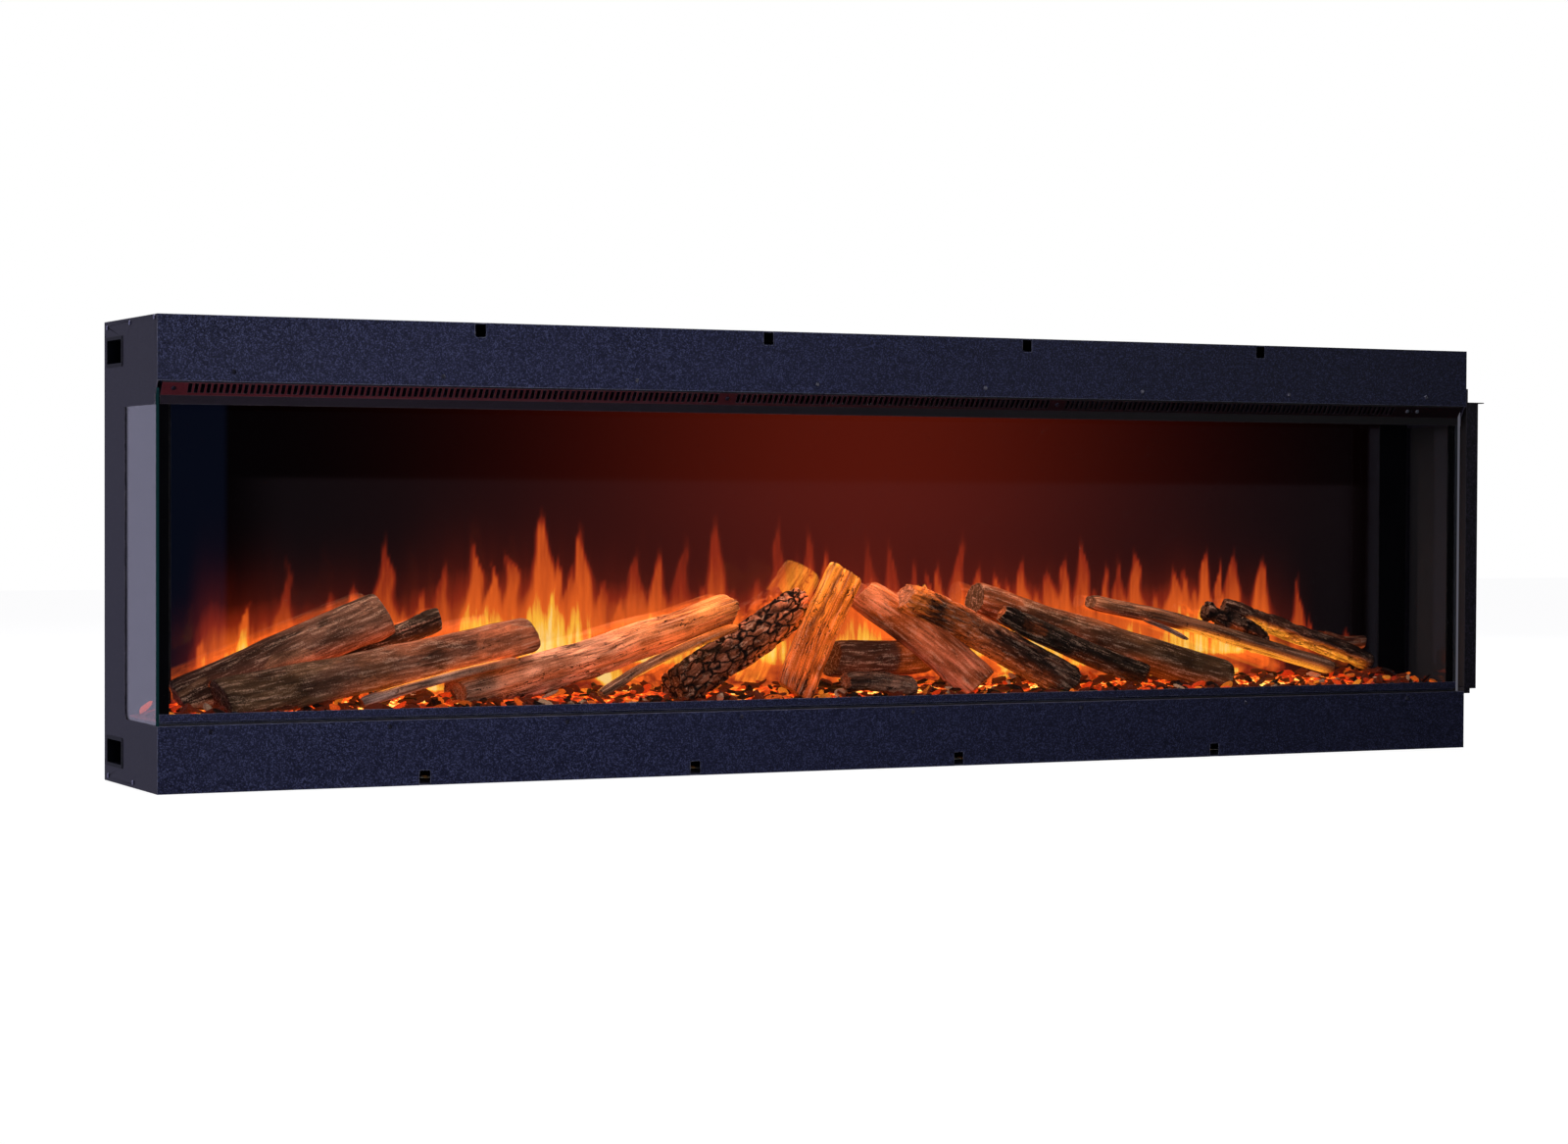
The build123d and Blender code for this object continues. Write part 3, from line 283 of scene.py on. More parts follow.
def crack_group():
    """Dark cracks: plates of bark, and splits that run along the first axis of the given vector."""
    name = "Wood cracks"
    if name in bpy.data.node_groups:
        return bpy.data.node_groups[name]
    inputs = [("Vector", "Vector", None), ("Plates", "Float", 0.0), ("Splits", "Float", 1.0)]
    tree, given, result = new_group(name, inputs, [("Mask", "Float")])
    vector = given.outputs["Vector"]
    bend = node(tree, "TexNoise", {"Vector": vector, "Scale": 75.0, "Detail": 2.0}).outputs["Color"]
    shifted = {0: bend, 1: (0.011, 0.011, 0.011), 2: vector}
    bent = node(tree, "VectorMath", shifted, operation="MULTIPLY_ADD").outputs[0]
    cells = {"Vector": scaled(tree, bent, (34.0, 72.0, 72.0)), "Scale": 1.0}
    edge = node(tree, "TexVoronoi", cells, feature="DISTANCE_TO_EDGE").outputs[0]
    plates = maths(tree, "MULTIPLY", between(tree, edge, 0.13, 0.03), given.outputs["Plates"])
    lines = cloud(tree, scaled(tree, bent, (7.0, 150.0, 150.0)), 1.0, 2.0, 0.55)
    line = between(tree, maths(tree, "ABSOLUTE", maths(tree, "SUBTRACT", lines, 0.5)), 0.022, 0.004)
    share = between(tree, cloud(tree, vector, 34.0, 2.0, 0.6), 0.42, 0.56)
    splits = maths(tree, "MULTIPLY", maths(tree, "MULTIPLY", line, share), given.outputs["Splits"])
    tree.links.new(maths(tree, "MAXIMUM", plates, splits), result.inputs["Mask"])
    return tree


def grouped(tree, group, **inputs):
    """One use of a node group with its own values."""
    made = tree.nodes.new("ShaderNodeGroup")
    made.node_tree = group
    for name, value in inputs.items():
        if isinstance(value, bpy.types.NodeSocket):
            tree.links.new(value, made.inputs[name])
        else:
            made.inputs[name].default_value = value
    return made.outputs


def new_material(name):
    """A material with its tree and its main shader."""
    made = bpy.data.materials.new(name)
    made.use_nodes = True
    tree = made.node_tree
    tree.nodes.clear()
    shader = tree.nodes.new("ShaderNodeBsdfPrincipled")
    output = tree.nodes.new("ShaderNodeOutputMaterial")
    tree.links.new(shader.outputs[0], output.inputs["Surface"])
    return made, tree, shader


def join(tree, socket, value):
    """Sets an input to a value, or joins it to a socket."""
    if isinstance(value, bpy.types.NodeSocket):
        tree.links.new(value, socket)
    elif isinstance(value, tuple) and len(value) == 3 and socket.type == "RGBA":
        socket.default_value = (*value, 1.0)
    else:
        socket.default_value = value


def bumped(tree, shader, height, distance, strength=1.0):
    """Joins a height to the shader's normal."""
    inputs = {"Height": height, "Distance": distance, "Strength": strength}
    tree.links.new(node(tree, "Bump", inputs).outputs[0], shader.inputs["Normal"])


def darker(colour, share):
    """A colour with each part multiplied by a share."""
    return tuple(part * share for part in colour)


def toward(colour, other, share):
    """A plain blend of two colours."""
    return tuple(a * (1 - share) + b * share for a, b in zip(colour, other))


# Finishes

DUST = srgb(120, 112, 104)


def powder_coat(name, colour, fleck, wear=0.5, dust=0.12, contrast=0.5, rough=0.5, inside=None):
    """Textured powder coat: specks, rubbed edges that also carry a painted highlight, and a little dust.
    inside colours what faces left; the cover gives it a paler grey, painted light.
    """
    made, tree, shader = new_material(name)
    specks = grouped(tree, fleck_group(), Size=sizes().fleck, Contrast=contrast)
    worn_and_highlit = grouped(tree, edge_wear_and_highlight_group(), Radius=0.0012, Amount=wear)["Mask"]
    laid = grouped(tree, dust_group(), Amount=dust)["Mask"]
    shade = blended(tree, specks["Light"], colour, fleck)
    shade = blended(tree, specks["Dark"], shade, darker(colour, 0.25))
    # Edges made paler: rubbed paint plus a painted edge highlight.
    shade = blended(tree, worn_and_highlit, shade, toward(fleck, (1, 1, 1), 0.12))
    if inside:
        # Painted light: faces turned left take the inside colour.
        shade = blended(tree, between(tree, facing(tree, "X"), -0.5, -0.9), shade, inside)
    join(tree, shader.inputs["Base Color"], blended(tree, laid, shade, DUST))
    gloss = between(tree, specks["Height"], 0.3, 0.7, rough - 0.07, rough + 0.1)
    join(tree, shader.inputs["Roughness"], gloss)
    shader.inputs["Specular IOR Level"].default_value = 0.3
    bumped(tree, shader, specks["Height"], 0.0004, 0.6)
    return made


def case_coat():
    """The case's own powder coat."""
    steel, fleck = tuple(colours().case), tuple(colours().case_fleck)
    return powder_coat("Steel coat", steel, fleck, contrast=0.7, wear=0.9)


def side_coat_offset_for_room_light():
    """The case coat again on the two side panels, painted a little browner and less blue to cancel the blue
    room light that falls on them: a painted light correction.
    """
    return powder_coat("Side coat", srgb(26, 23, 38), srgb(82, 76, 96), contrast=0.7, wear=0.9)


def cover_coat():
    """The darker coat of the cover over the right side glass, with its inner face painted a paler grey as
    painted light.
    """
    cover = tuple(colours().cover)
    fleck = toward(cover, srgb(92, 84, 110), 0.6)
    return powder_coat("Cover coat", cover, fleck, wear=0.3, contrast=0.5, inside=srgb(48, 45, 48))


def lining_coat():
    """Satin black paint inside the chamber."""
    lining, fleck = tuple(colours().lining), srgb(26, 26, 34)
    return powder_coat("Lining coat", lining, fleck, wear=0.25, dust=0.05, rough=0.42, contrast=0.4)


def outlet_coat():
    """The outlet strip: a dark face with a painted red glow of the fire that fades to painted shade on the
    right, over a lip in the case colour that darkens toward the right the same way.
    """
    made, tree, shader = new_material("Outlet coat")
    specks = grouped(tree, fleck_group(), Size=sizes().fleck, Contrast=0.6)
    worn_and_highlit = grouped(tree, edge_wear_and_highlight_group(), Radius=0.0009, Amount=0.3)["Mask"]
    across = node(tree, "SeparateXYZ", {0: place(tree)}).outputs["X"]
    # Painted light: the warm colour is the fire's red glow painted on the slope, and the fade to the right is
    # painted shade on slope and lip.
    warm = tuple(colours().outlet_painted_glow)
    fade = between(tree, across, -1.0, 0.6)
    slope = blended(tree, fade, warm, srgb(12, 9, 12))
    slope = blended(tree, specks["Light"], slope, toward(warm, (0, 0, 0), 0.25))
    lip = blended(tree, fade, srgb(20, 15, 24), srgb(4, 3, 5))
    lip = blended(tree, specks["Light"], lip, srgb(34, 26, 38))
    shade = blended(tree, between(tree, facing(tree, "Z"), -0.2, -0.4), lip, slope)
    shade = blended(tree, specks["Dark"], shade, srgb(10, 6, 8))
    # Edges made paler: rubbed paint plus a painted edge highlight.
    join(tree, shader.inputs["Base Color"], blended(tree, worn_and_highlit, shade, srgb(120, 110, 120)))
    join(tree, shader.inputs["Roughness"], between(tree, specks["Height"], 0.3, 0.7, 0.42, 0.58))
    shader.inputs["Specular IOR Level"].default_value = 0.3
    bumped(tree, shader, specks["Height"], 0.0003, 0.6)
    return made


def metal(name, colour, rough, wear=0.4, spangle=0.0):
    """Bare or plated metal with fine drawn lines, duller in patches."""
    made, tree, shader = new_material(name)
    point = place(tree)
    lines = cloud(tree, scaled(tree, point, (30.0, 700.0, 700.0)), 1.0, 3.0, 0.6)
    patches = cloud(tree, point, 26.0, 4.0, 0.6)
    worn_and_highlit = grouped(tree, edge_wear_and_highlight_group(), Radius=0.0007, Amount=wear)["Mask"]
    shade = blended(tree, between(tree, patches, 0.3, 0.7, 0.0, 0.5), colour, darker(colour, 0.62))
    if spangle:
        inputs = {"Vector": point, "Scale": 70.0}
        flakes = node(tree, "TexVoronoi", inputs, feature="F1").outputs["Color"]
        tone = node(tree, "SeparateColor", {0: flakes}).outputs[0]
        shade = blended(tree, maths(tree, "MULTIPLY", tone, spangle), shade, toward(colour, (1, 1, 1), 0.4))
    # Edges made paler: rubbed metal plus a painted edge highlight.
    join(tree, shader.inputs["Base Color"], blended(tree, worn_and_highlit, shade, toward(colour, (1, 1, 1), 0.3)))
    streak = 0.12
    gloss = maths(tree, "ADD", maths(tree, "MULTIPLY", lines, streak), rough - streak / 2)
    join(tree, shader.inputs["Roughness"], gloss)
    shader.inputs["Metallic"].default_value = 1.0
    bumped(tree, shader, lines, 0.0001, 0.3)
    return made


def moulded(name, colour, rough, dust=0.1, coat=0.0, specular=0.5):
    """Moulded plastic or rubber with a fine spark-eroded skin."""
    made, tree, shader = new_material(name)
    skin = cloud(tree, place(tree), 900.0, 2.0, 0.6)
    tone = between(tree, cloud(tree, place(tree), 40.0, 3.0, 0.6), 0.3, 0.7, 0.0, 0.3)
    worn_and_highlit = grouped(tree, edge_wear_and_highlight_group(), Radius=0.0006, Amount=0.35)["Mask"]
    laid = grouped(tree, dust_group(), Amount=dust)["Mask"]
    shade = blended(tree, tone, colour, darker(colour, 0.7))
    # Edges made paler: rubbed plastic plus a painted edge highlight.
    shade = blended(tree, worn_and_highlit, shade, toward(colour, (1, 1, 1), 0.2))
    join(tree, shader.inputs["Base Color"], blended(tree, laid, shade, DUST))
    join(tree, shader.inputs["Roughness"], between(tree, skin, 0.3, 0.7, rough - 0.08, rough + 0.08))
    shader.inputs["Coat Weight"].default_value = coat
    shader.inputs["Specular IOR Level"].default_value = specular
    bumped(tree, shader, skin, 0.0001, 0.4)
    return made


def circuit_board():
    """Green board with copper tracks under the lacquer."""
    made, tree, shader = new_material("Circuit board")
    point = place(tree)
    tracks = node(tree, "TexChecker", {"Vector": point, "Scale": 260.0}).outputs[1]
    waves = cloud(tree, point, 120.0, 1.0, 0.5)
    green = blended(tree, between(tree, waves, 0.46, 0.5), srgb(16, 74, 40), srgb(34, 104, 56))
    shade = blended(tree, maths(tree, "MULTIPLY", tracks, 0.3), green, srgb(20, 60, 34))
    join(tree, shader.inputs["Base Color"], shade)
    shader.inputs["Roughness"].default_value = 0.3
    bumped(tree, shader, waves, 0.0001, 0.4)
    return made


def lamp_strip(name, warm):
    """White strip whose small lamps shine."""
    made, tree, shader = new_material(name)
    across = node(tree, "SeparateXYZ", {0: place(tree)}).outputs["X"]
    phase = maths(tree, "PINGPONG", across, 0.016)
    lit = between(tree, phase, 0.012, 0.0145)
    shade = blended(tree, lit, srgb(206, 204, 196), srgb(244, 214, 150))
    join(tree, shader.inputs["Base Color"], shade)
    join(tree, shader.inputs["Emission Color"], blended(tree, lit, (0, 0, 0), warm))
    shader.inputs["Emission Strength"].default_value = 0.004
    shader.inputs["Roughness"].default_value = 0.5
    bumped(tree, shader, cloud(tree, place(tree), 500.0), 0.0001, 0.3)
    return made


def clear_glass(name, thin_axis, edge_colour, edge_tint_and_painted_glow):
    """Clear pane, thin along one axis. Its cut edges show their own tint and give off a painted glow. Lamps
    shine through it.
    """
    made, tree, shader = new_material(name)
    rim = between(tree, maths(tree, "ABSOLUTE", facing(tree, thin_axis)), 0.3, 0.05)
    smears = cloud(tree, scaled(tree, place(tree), (3.0, 3.0, 7.0)), 1.0, 5.0, 0.65)
    cut_edge = maths(tree, "MULTIPLY", rim, edge_tint_and_painted_glow)
    join(tree, shader.inputs["Base Color"], blended(tree, cut_edge, (1, 1, 1), edge_colour))
    join(tree, shader.inputs["Roughness"], between(tree, smears, 0.45, 0.8, 0.0, 0.03))
    # Painted glow: the cut edges give off their tint as light.
    join(tree, shader.inputs["Emission Color"], blended(tree, rim, (0, 0, 0), darker(edge_colour, edge_tint_and_painted_glow)))
    shader.inputs["Emission Strength"].default_value = 1.0
    shader.inputs["Transmission Weight"].default_value = 1.0
    shader.inputs["IOR"].default_value = 1.45
    open_air = node(tree, "BsdfTransparent")
    lamp_ray = node(tree, "LightPath").outputs["Is Shadow Ray"]
    mix = node(tree, "MixShader", {0: lamp_ray, 1: shader.outputs[0], 2: open_air.outputs[0]})
    output = next(n for n in tree.nodes if n.type == "OUTPUT_MATERIAL")
    tree.links.new(mix.outputs[0], output.inputs["Surface"])
    return made


def tinted(tree, vector):
    """The colour part of a named attribute."""
    return node(tree, "Attribute", attribute_name=vector).outputs["Color"]


def timber(name, along, across, relief, plates, splits):
    """Cast and painted log: the painted tone under fine fibres and dark cracks, with a painted highlight on
    the raised fibres and a painted glow where the fire's light falls.
    """
    made, tree, shader = new_material(name)
    grain = node(tree, "Attribute", attribute_name="grain").outputs["Vector"]
    fibre = grouped(tree, fibre_group(), Vector=grain, Along=along, Across=across)
    tone = tinted(tree, "tone")
    furrows = between(tree, fibre["Shade"], 0.0, 0.55, 0.62, 0.0)
    shade = blended(tree, furrows, tone, darker(srgb(60, 38, 28), 0.6))
    # Painted highlight: the high fibres are blended toward a pale tan.
    ridge_highlight = blended(tree, 0.5, tone, srgb(224, 176, 148))
    shade = blended(tree, between(tree, fibre["Shade"], 0.55, 0.95, 0.0, 0.75), shade, ridge_highlight)
    cracks = grouped(tree, crack_group(), Vector=grain, Plates=plates, Splits=splits)["Mask"]
    join(tree, shader.inputs["Base Color"], blended(tree, cracks, shade, srgb(16, 9, 7)))
    # Painted glow: emission from the glow colours stands for the firelight on the log, made fainter in the
    # low fibres and gone in the cracks.
    painted_glow_dimmed = blended(tree, between(tree, fibre["Shade"], 0.1, 0.7, 0.55, 0.0), tinted(tree, "glow"), (0, 0, 0))
    join(tree, shader.inputs["Emission Color"], blended(tree, cracks, painted_glow_dimmed, (0, 0, 0)))
    shader.inputs["Emission Strength"].default_value = 1.0
    join(tree, shader.inputs["Roughness"], between(tree, fibre["Shade"], 0.2, 0.8, 0.92, 0.68))
    shader.inputs["Specular IOR Level"].default_value = 0.3
    raised = maths(tree, "SUBTRACT", fibre["Height"], cracks)
    bumped(tree, shader, raised, relief, 0.9)
    return made


def ember_skin():
    """Translucent cast slab, lit from below: lumps that glow between dark crusts."""
    made, tree, shader = new_material("Ember slab")
    point = place(tree)
    lumps = cloud(tree, point, 95.0, 4.0, 0.62)
    crust = node(tree, "TexVoronoi", {"Vector": point, "Scale": 120.0}, feature="DISTANCE_TO_EDGE").outputs[0]
    heat = node(tree, "Attribute", attribute_name="warmth").outputs["Fac"]
    level = maths(tree, "MULTIPLY", between(tree, lumps, 0.32, 0.66), heat)
    ramp = node(tree, "ValToRGB", {0: level})
    paint_ramp(
        ramp.color_ramp,
        [
            (0.0, srgb(24, 6, 4)),
            (0.22, srgb(120, 20, 7)),
            (0.56, srgb(214, 56, 14)),
            (0.84, srgb(250, 128, 30)),
            (1.0, srgb(255, 222, 110)),
        ],
    )
    seam = between(tree, crust, 0.0, 0.07, 0.25, 1.0)
    seam = maths(tree, "MULTIPLY", seam, between(tree, facing(tree, "Z"), 0.0, 0.3))
    lit = blended(tree, 1.0, ramp.outputs[0], seam, "MULTIPLY")
    join(tree, shader.inputs["Base Color"], blended(tree, lumps, srgb(50, 20, 12), srgb(150, 70, 36)))
    join(tree, shader.inputs["Emission Color"], lit)
    shader.inputs["Emission Strength"].default_value = 2.0
    join(tree, shader.inputs["Roughness"], between(tree, lumps, 0.3, 0.7, 0.35, 0.7))
    bumped(tree, shader, lumps, 0.003, 0.8)
    return made


def chip_skin():
    """Bark chips: some charred, some with a painted glow that stands for the bed's light shining through and
    onto them.
    """
    made, tree, shader = new_material("Bark chips")
    grit = cloud(tree, place(tree), 600.0, 3.0, 0.65)
    tone = tinted(tree, "tone")
    shade = blended(tree, between(tree, grit, 0.3, 0.7, 0.6, 0.0), tone, srgb(16, 8, 6))
    join(tree, shader.inputs["Base Color"], shade)
    # Painted glow from the chips' glow colours, fainter on the rough grit.
    lit = blended(tree, between(tree, grit, 0.3, 0.65, 0.5, 0.0), tinted(tree, "glow"), (0, 0, 0))
    join(tree, shader.inputs["Emission Color"], lit)
    shader.inputs["Emission Strength"].default_value = 1.0
    join(tree, shader.inputs["Roughness"], between(tree, grit, 0.3, 0.7, 0.5, 0.85))
    bumped(tree, shader, grit, 0.0008, 0.8)
    return made


def paint_ramp(ramp, stops):
    """Sets the stops of a colour ramp."""
    while len(ramp.elements) > 1:
        ramp.elements.remove(ramp.elements[-1])
    ramp.elements[0].position = stops[0][0]
    ramp.elements[0].color = (*stops[0][1], 1.0)
    for position, colour in stops[1:]:
        ramp.elements.new(position).color = (*colour, 1.0)


def flame_skin():
    """Half-mirrored sheet with the flames cast on it from behind, and with a painted red glow and painted
    reflections added to them.
    """
    made, tree, shader = new_material("Flame screen")
    point = place(tree)
    level = node(tree, "Attribute", attribute_name="blaze").outputs["Fac"]
    streak = cloud(tree, scaled(tree, point, (120.0, 1.0, 11.0)), 1.0, 3.0, 0.6)
    wisp = cloud(tree, scaled(tree, point, (60.0, 1.0, 9.0)), 1.0, 4.0, 0.6)
    mixed = maths(tree, "ADD", maths(tree, "MULTIPLY", streak, 0.45), maths(tree, "MULTIPLY", wisp, 0.55))
    level = maths(tree, "MULTIPLY", level, between(tree, mixed, 0.34, 0.62, 0.84, 1.06))
    ramp = node(tree, "ValToRGB", {0: level})
    tip, body, heart = (tuple(c) for c in (colours().flame_tip, colours().flame_body, colours().flame_heart))
    paint_ramp(
        ramp.color_ramp,
        [
            (0.0, (0.0, 0.0, 0.0)),
            (0.16, darker(tip, 0.14)),
            (0.36, darker(tip, 0.75)),
            (0.6, toward(tip, body, 0.62)),
            (0.78, body),
            (0.92, heart),
            (1.0, toward(heart, (1.0, 0.9, 0.5), 0.35)),
        ],
    )
    # Painted light: a red glow high up and reflections, added to the flames' light.
    painted_haze = tinted(tree, "painted_haze")
    lit = blended(tree, 1.0, ramp.outputs[0], painted_haze, "ADD")
    join(tree, shader.inputs["Emission Color"], lit)
    shader.inputs["Emission Strength"].default_value = 1.0
    share = between(tree, mixed, 0.0, 1.0)
    join(tree, shader.inputs["Base Color"], blended(tree, share, (0.26, 0.26, 0.27), (0.2, 0.2, 0.21)))
    shader.inputs["Metallic"].default_value = 1.0
    join(tree, shader.inputs["Roughness"], between(tree, mixed, 0.3, 0.7, 0.03, 0.06))
    return made


# Pieces from the frame


def dress(material, *names):
    """Gives CAD nodes a finish."""
    for name in names:
        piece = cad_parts[name]
        if not piece.material_slots:
            piece.data.materials.append(material)
        for slot in piece.material_slots:
            slot.link = "OBJECT"
            slot.material = material


def soften(width, *names):
    """Rounds the edges of CAD nodes a little."""
    for name in names:
        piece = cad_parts[name]
        weld = piece.modifiers.new("Weld", "WELD")
        weld.merge_threshold = 0.00001
        bevel = piece.modifiers.new("Edges", "BEVEL")
        bevel.width = width
        bevel.segments = 2
        bevel.limit_method = "ANGLE"
        bevel.angle_limit = math.radians(40)
        bevel.harden_normals = False


# Shapes


def lattice(cells, seed):
    """A repeatable random number from 0 to 1 for each whole-number cell."""
    x, y, z = (cells[..., k].astype(np.int64) for k in range(3))
    mixed = (x * 73856093) ^ (y * 19349663) ^ (z * 83492791) ^ (seed * 2654435761)
    mixed = ((mixed ^ (mixed >> 13)) * 1274126177) & 0xFFFFFFFF
    mixed ^= mixed >> 16
    return (mixed & 0xFFFFFF) / 0xFFFFFF


def soft_noise(points, seed):
    """Smooth noise from 0 to 1 at each point."""
    low = np.floor(points)
    share = points - low
    share = share * share * (3 - 2 * share)
    total = np.zeros(points.shape[:-1])
    for corner in np.ndindex(2, 2, 2):
        weight = np.ones(points.shape[:-1])
        for axis, high in enumerate(corner):
            weight = weight * (share[..., axis] if high else 1 - share[..., axis])
        total += weight * lattice(low + np.array(corner), seed)
    return total


def layered(points, seed, layers=3):
    """Noise in finer and fainter layers, from 0 to 1."""
    total, weight, whole = 0.0, 1.0, 0.0
    for layer in range(layers):
        total = total + weight * soft_noise(points * 2.03**layer, seed + layer)
        whole += weight
        weight *= 0.5
    return total / whole


def ease(values, low, high):
    """0 at low, 1 at high, smooth between."""
    share = np.clip((values - low) / (high - low), 0, 1)
    return share * share * (3 - 2 * share)


def colour_layer(mesh, name, values):
    """Stores a colour for each point of a mesh."""
    layer = mesh.attributes.new(name, "FLOAT_COLOR", "POINT")
    rows = np.ones((len(mesh.vertices), 4), dtype=np.float32)
    rows[:, :3] = values
    layer.data.foreach_set("color", rows.ravel())


def number_layer(mesh, name, values):
    """Stores a number for each point of a mesh."""
    layer = mesh.attributes.new(name, "FLOAT", "POINT")
    layer.data.foreach_set("value", np.asarray(values, dtype=np.float32).ravel())


def vector_layer(mesh, name, values):
    """Stores a vector for each point of a mesh."""
    layer = mesh.attributes.new(name, "FLOAT_VECTOR", "POINT")
    layer.data.foreach_set("vector", np.asarray(values, dtype=np.float32).ravel())


def new_piece(name, points, faces, material, body=FIXED, smooth=True):
    """A mesh piece that rides on a body."""
    mesh = bpy.data.meshes.new(name)
    mesh.from_pydata([tuple(p) for p in points], [], faces)
    mesh.validate()
    mesh.polygons.foreach_set("use_smooth", [smooth] * len(mesh.polygons))
    mesh.materials.append(material)
    piece = bpy.data.objects.new(name, mesh)
    bpy.context.scene.collection.objects.link(piece)
    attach(piece, body)
    return piece


def sheet_faces(rows, columns):
    """Faces of an open grid of points."""
    return [
        (r * columns + c, r * columns + c + 1, (r + 1) * columns + c + 1, (r + 1) * columns + c)
        for r in range(rows - 1)
        for c in range(columns - 1)
    ]


def solids_of(name):
    """The separate solids of a CAD node, each as its corner points, from left to right."""
    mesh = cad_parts[name].data
    points = np.empty(len(mesh.vertices) * 3)
    mesh.vertices.foreach_get("co", points)
    points = points.reshape(-1, 3)
    _, same = np.unique(np.round(points, 6), axis=0, return_inverse=True)
    same = same.ravel()
    edges = np.empty(len(mesh.edges) * 2, dtype=np.int64)
    mesh.edges.foreach_get("vertices", edges)
    pairs = same[edges].reshape(-1, 2)
    label = np.arange(same.max() + 1)
    while True:
        lowest = np.minimum(label[pairs[:, 0]], label[pairs[:, 1]])
        before = label.copy()
        np.minimum.at(label, pairs[:, 0], lowest)
        np.minimum.at(label, pairs[:, 1], lowest)
        label = label[label]
        if (label == before).all():
            break
    owner = label[same]
    groups = [points[owner == one] for one in np.unique(owner)]
    return sorted(groups, key=lambda group: group[:, 0].mean())


def log_axis(points):
    """Foot, head, foot radius and head radius of a round log, read from its corner points."""
    points = np.unique(np.round(points, 6), axis=0)
    middle = points.mean(axis=0)
    axis = np.linalg.svd(points - middle, full_matrices=False)[2][0]
    if axis[2] < 0:
        axis = -axis
    along = (points - middle) @ axis
    ends = []
    for sign in (-1, 1):
        rim = points[along * sign > (along * sign).max() - 0.004]
        centre = rim.mean(axis=0)
        ends.append((centre, np.linalg.norm(rim - centre, axis=1).max()))
    return ends[0][0], ends[1][0], ends[0][1], ends[1][1]


# Logs

BACK = (0.0, 1.0, 0.15)
UNDER = (0.0, -0.35, -1.0)
UPPER = (0.0, 0.2, 1.0)
FRONT = (0.0, -1.0, 0.1)
ORANGE = srgb(255, 104, 24)
EMBER_RED = srgb(236, 62, 14)
AMBER = srgb(255, 158, 44)

# How much deeper the paint is than the tone asked for, in red, green and blue
PAINT_DEPTH = np.array((0.74, 0.56, 0.5))

BARK, FURROWED, SMOOTH, SPLIT, PLANK = "bark", "furrowed", "smooth", "split", "plank"

# Share of the bark that has peeled, by kind
PEELING = {BARK: 0.2, FURROWED: 0.35, SMOOTH: 0.6, SPLIT: 0.25, PLANK: 0.3}

# Each log: kind, girth, tones along it from foot to head (their bright orange shades partly painted
# firelight), colour of its cracks, colour of its cut ends, knots as (share of length, turn in degrees), and
# places of painted glow, emission standing for the firelight that falls on the log, as (start, end, side,
# colour, strength).
LARGE_LOGS = {
    "log_far_left": (
        SMOOTH, 1.3, [(54, 38, 32), (78, 56, 46), (112, 82, 66), (122, 90, 72)],
        (38, 24, 18), (152, 106, 78),
        [(0.7, 250), (0.82, 215), (0.93, 262)],
        [(0.0, 1.0, BACK, ORANGE, 2.5), (0.45, 1.0, UNDER, ORANGE, 0.1)],
    ),
    "log_long_left": (
        SMOOTH, 1.36, [(76, 62, 46), (100, 80, 60), (124, 88, 66), (176, 112, 80), (184, 112, 78)],
        (30, 22, 14), (96, 62, 50),
        [(0.5, 240), (0.64, 262)],
        [(0.0, 1.0, BACK, ORANGE, 2.5), (0.7, 1.0, UPPER, ORANGE, 0.06), (0.35, 1.0, UNDER, ORANGE, 0.12)],
    ),
    "log_split_long": (
        SPLIT, 1.45, [(190, 144, 120), (232, 180, 150), (240, 176, 140), (246, 172, 112), (250, 170, 90)],
        (62, 32, 20),
        (196, 108, 66), [(0.3, 250)],
        [
            (0.0, 1.0, BACK, ORANGE, 3.0), (0.55, 1.0, UPPER, ORANGE, 0.7), (0.12, 1.0, FRONT, ORANGE, 0.24),
            (0.4, 0.9, UNDER, ORANGE, 0.1),
        ],
    ),
    "log_bark_middle": (
        BARK, 1.45, [(112, 80, 66), (142, 100, 82), (196, 128, 98), (226, 138, 90)],
        (14, 9, 8), (128, 70, 40), [],
        [(0.0, 1.0, BACK, ORANGE, 3.0), (0.5, 1.0, UNDER, ORANGE, 0.4), (0.0, 1.0, FRONT, ORANGE, 0.07)],
    ),
    "log_centre": (
        SPLIT, 1.5, [(196, 98, 50), (212, 112, 46), (236, 144, 46), (250, 170, 52)],
        (58, 24, 10), (236, 150, 60), [],
        [(0.0, 1.0, BACK, AMBER, 3.0), (0.1, 1.0, FRONT, ORANGE, 0.6), (0.1, 1.0, UPPER, AMBER, 1.2)],
    ),
    "log_smooth_right": (
        SMOOTH, 1.5, [(186, 120, 96), (182, 112, 90), (172, 104, 76), (190, 104, 60), (226, 122, 50)],
        (52, 30, 22),
        (214, 128, 92), [(0.16, 250)],
        [(0.0, 1.0, BACK, ORANGE, 2.8), (0.5, 1.0, UPPER, ORANGE, 0.7), (0.0, 1.0, FRONT, ORANGE, 0.24)],
    ),
    "log_rough_right": (
        FURROWED, 1.45, [(62, 44, 36), (82, 56, 44), (112, 70, 48), (176, 98, 48), (226, 130, 50)],
        (20, 12, 10),
        (212, 124, 84), [],
        [(0.0, 1.0, BACK, ORANGE, 2.8), (0.55, 1.0, UPPER, ORANGE, 0.7), (0.1, 0.7, UNDER, ORANGE, 0.3)],
    ),
    "log_big_right": (
        SMOOTH, 1.45, [(58, 50, 32), (74, 58, 38), (98, 66, 44), (134, 78, 46), (150, 84, 46)],
        (28, 20, 12), (92, 60, 38),
        [(0.42, 250)],
        [(0.0, 1.0, BACK, ORANGE, 2.8), (0.5, 1.0, UPPER, ORANGE, 0.3), (0.0, 0.4, UNDER, ORANGE, 0.2)],
    ),
}

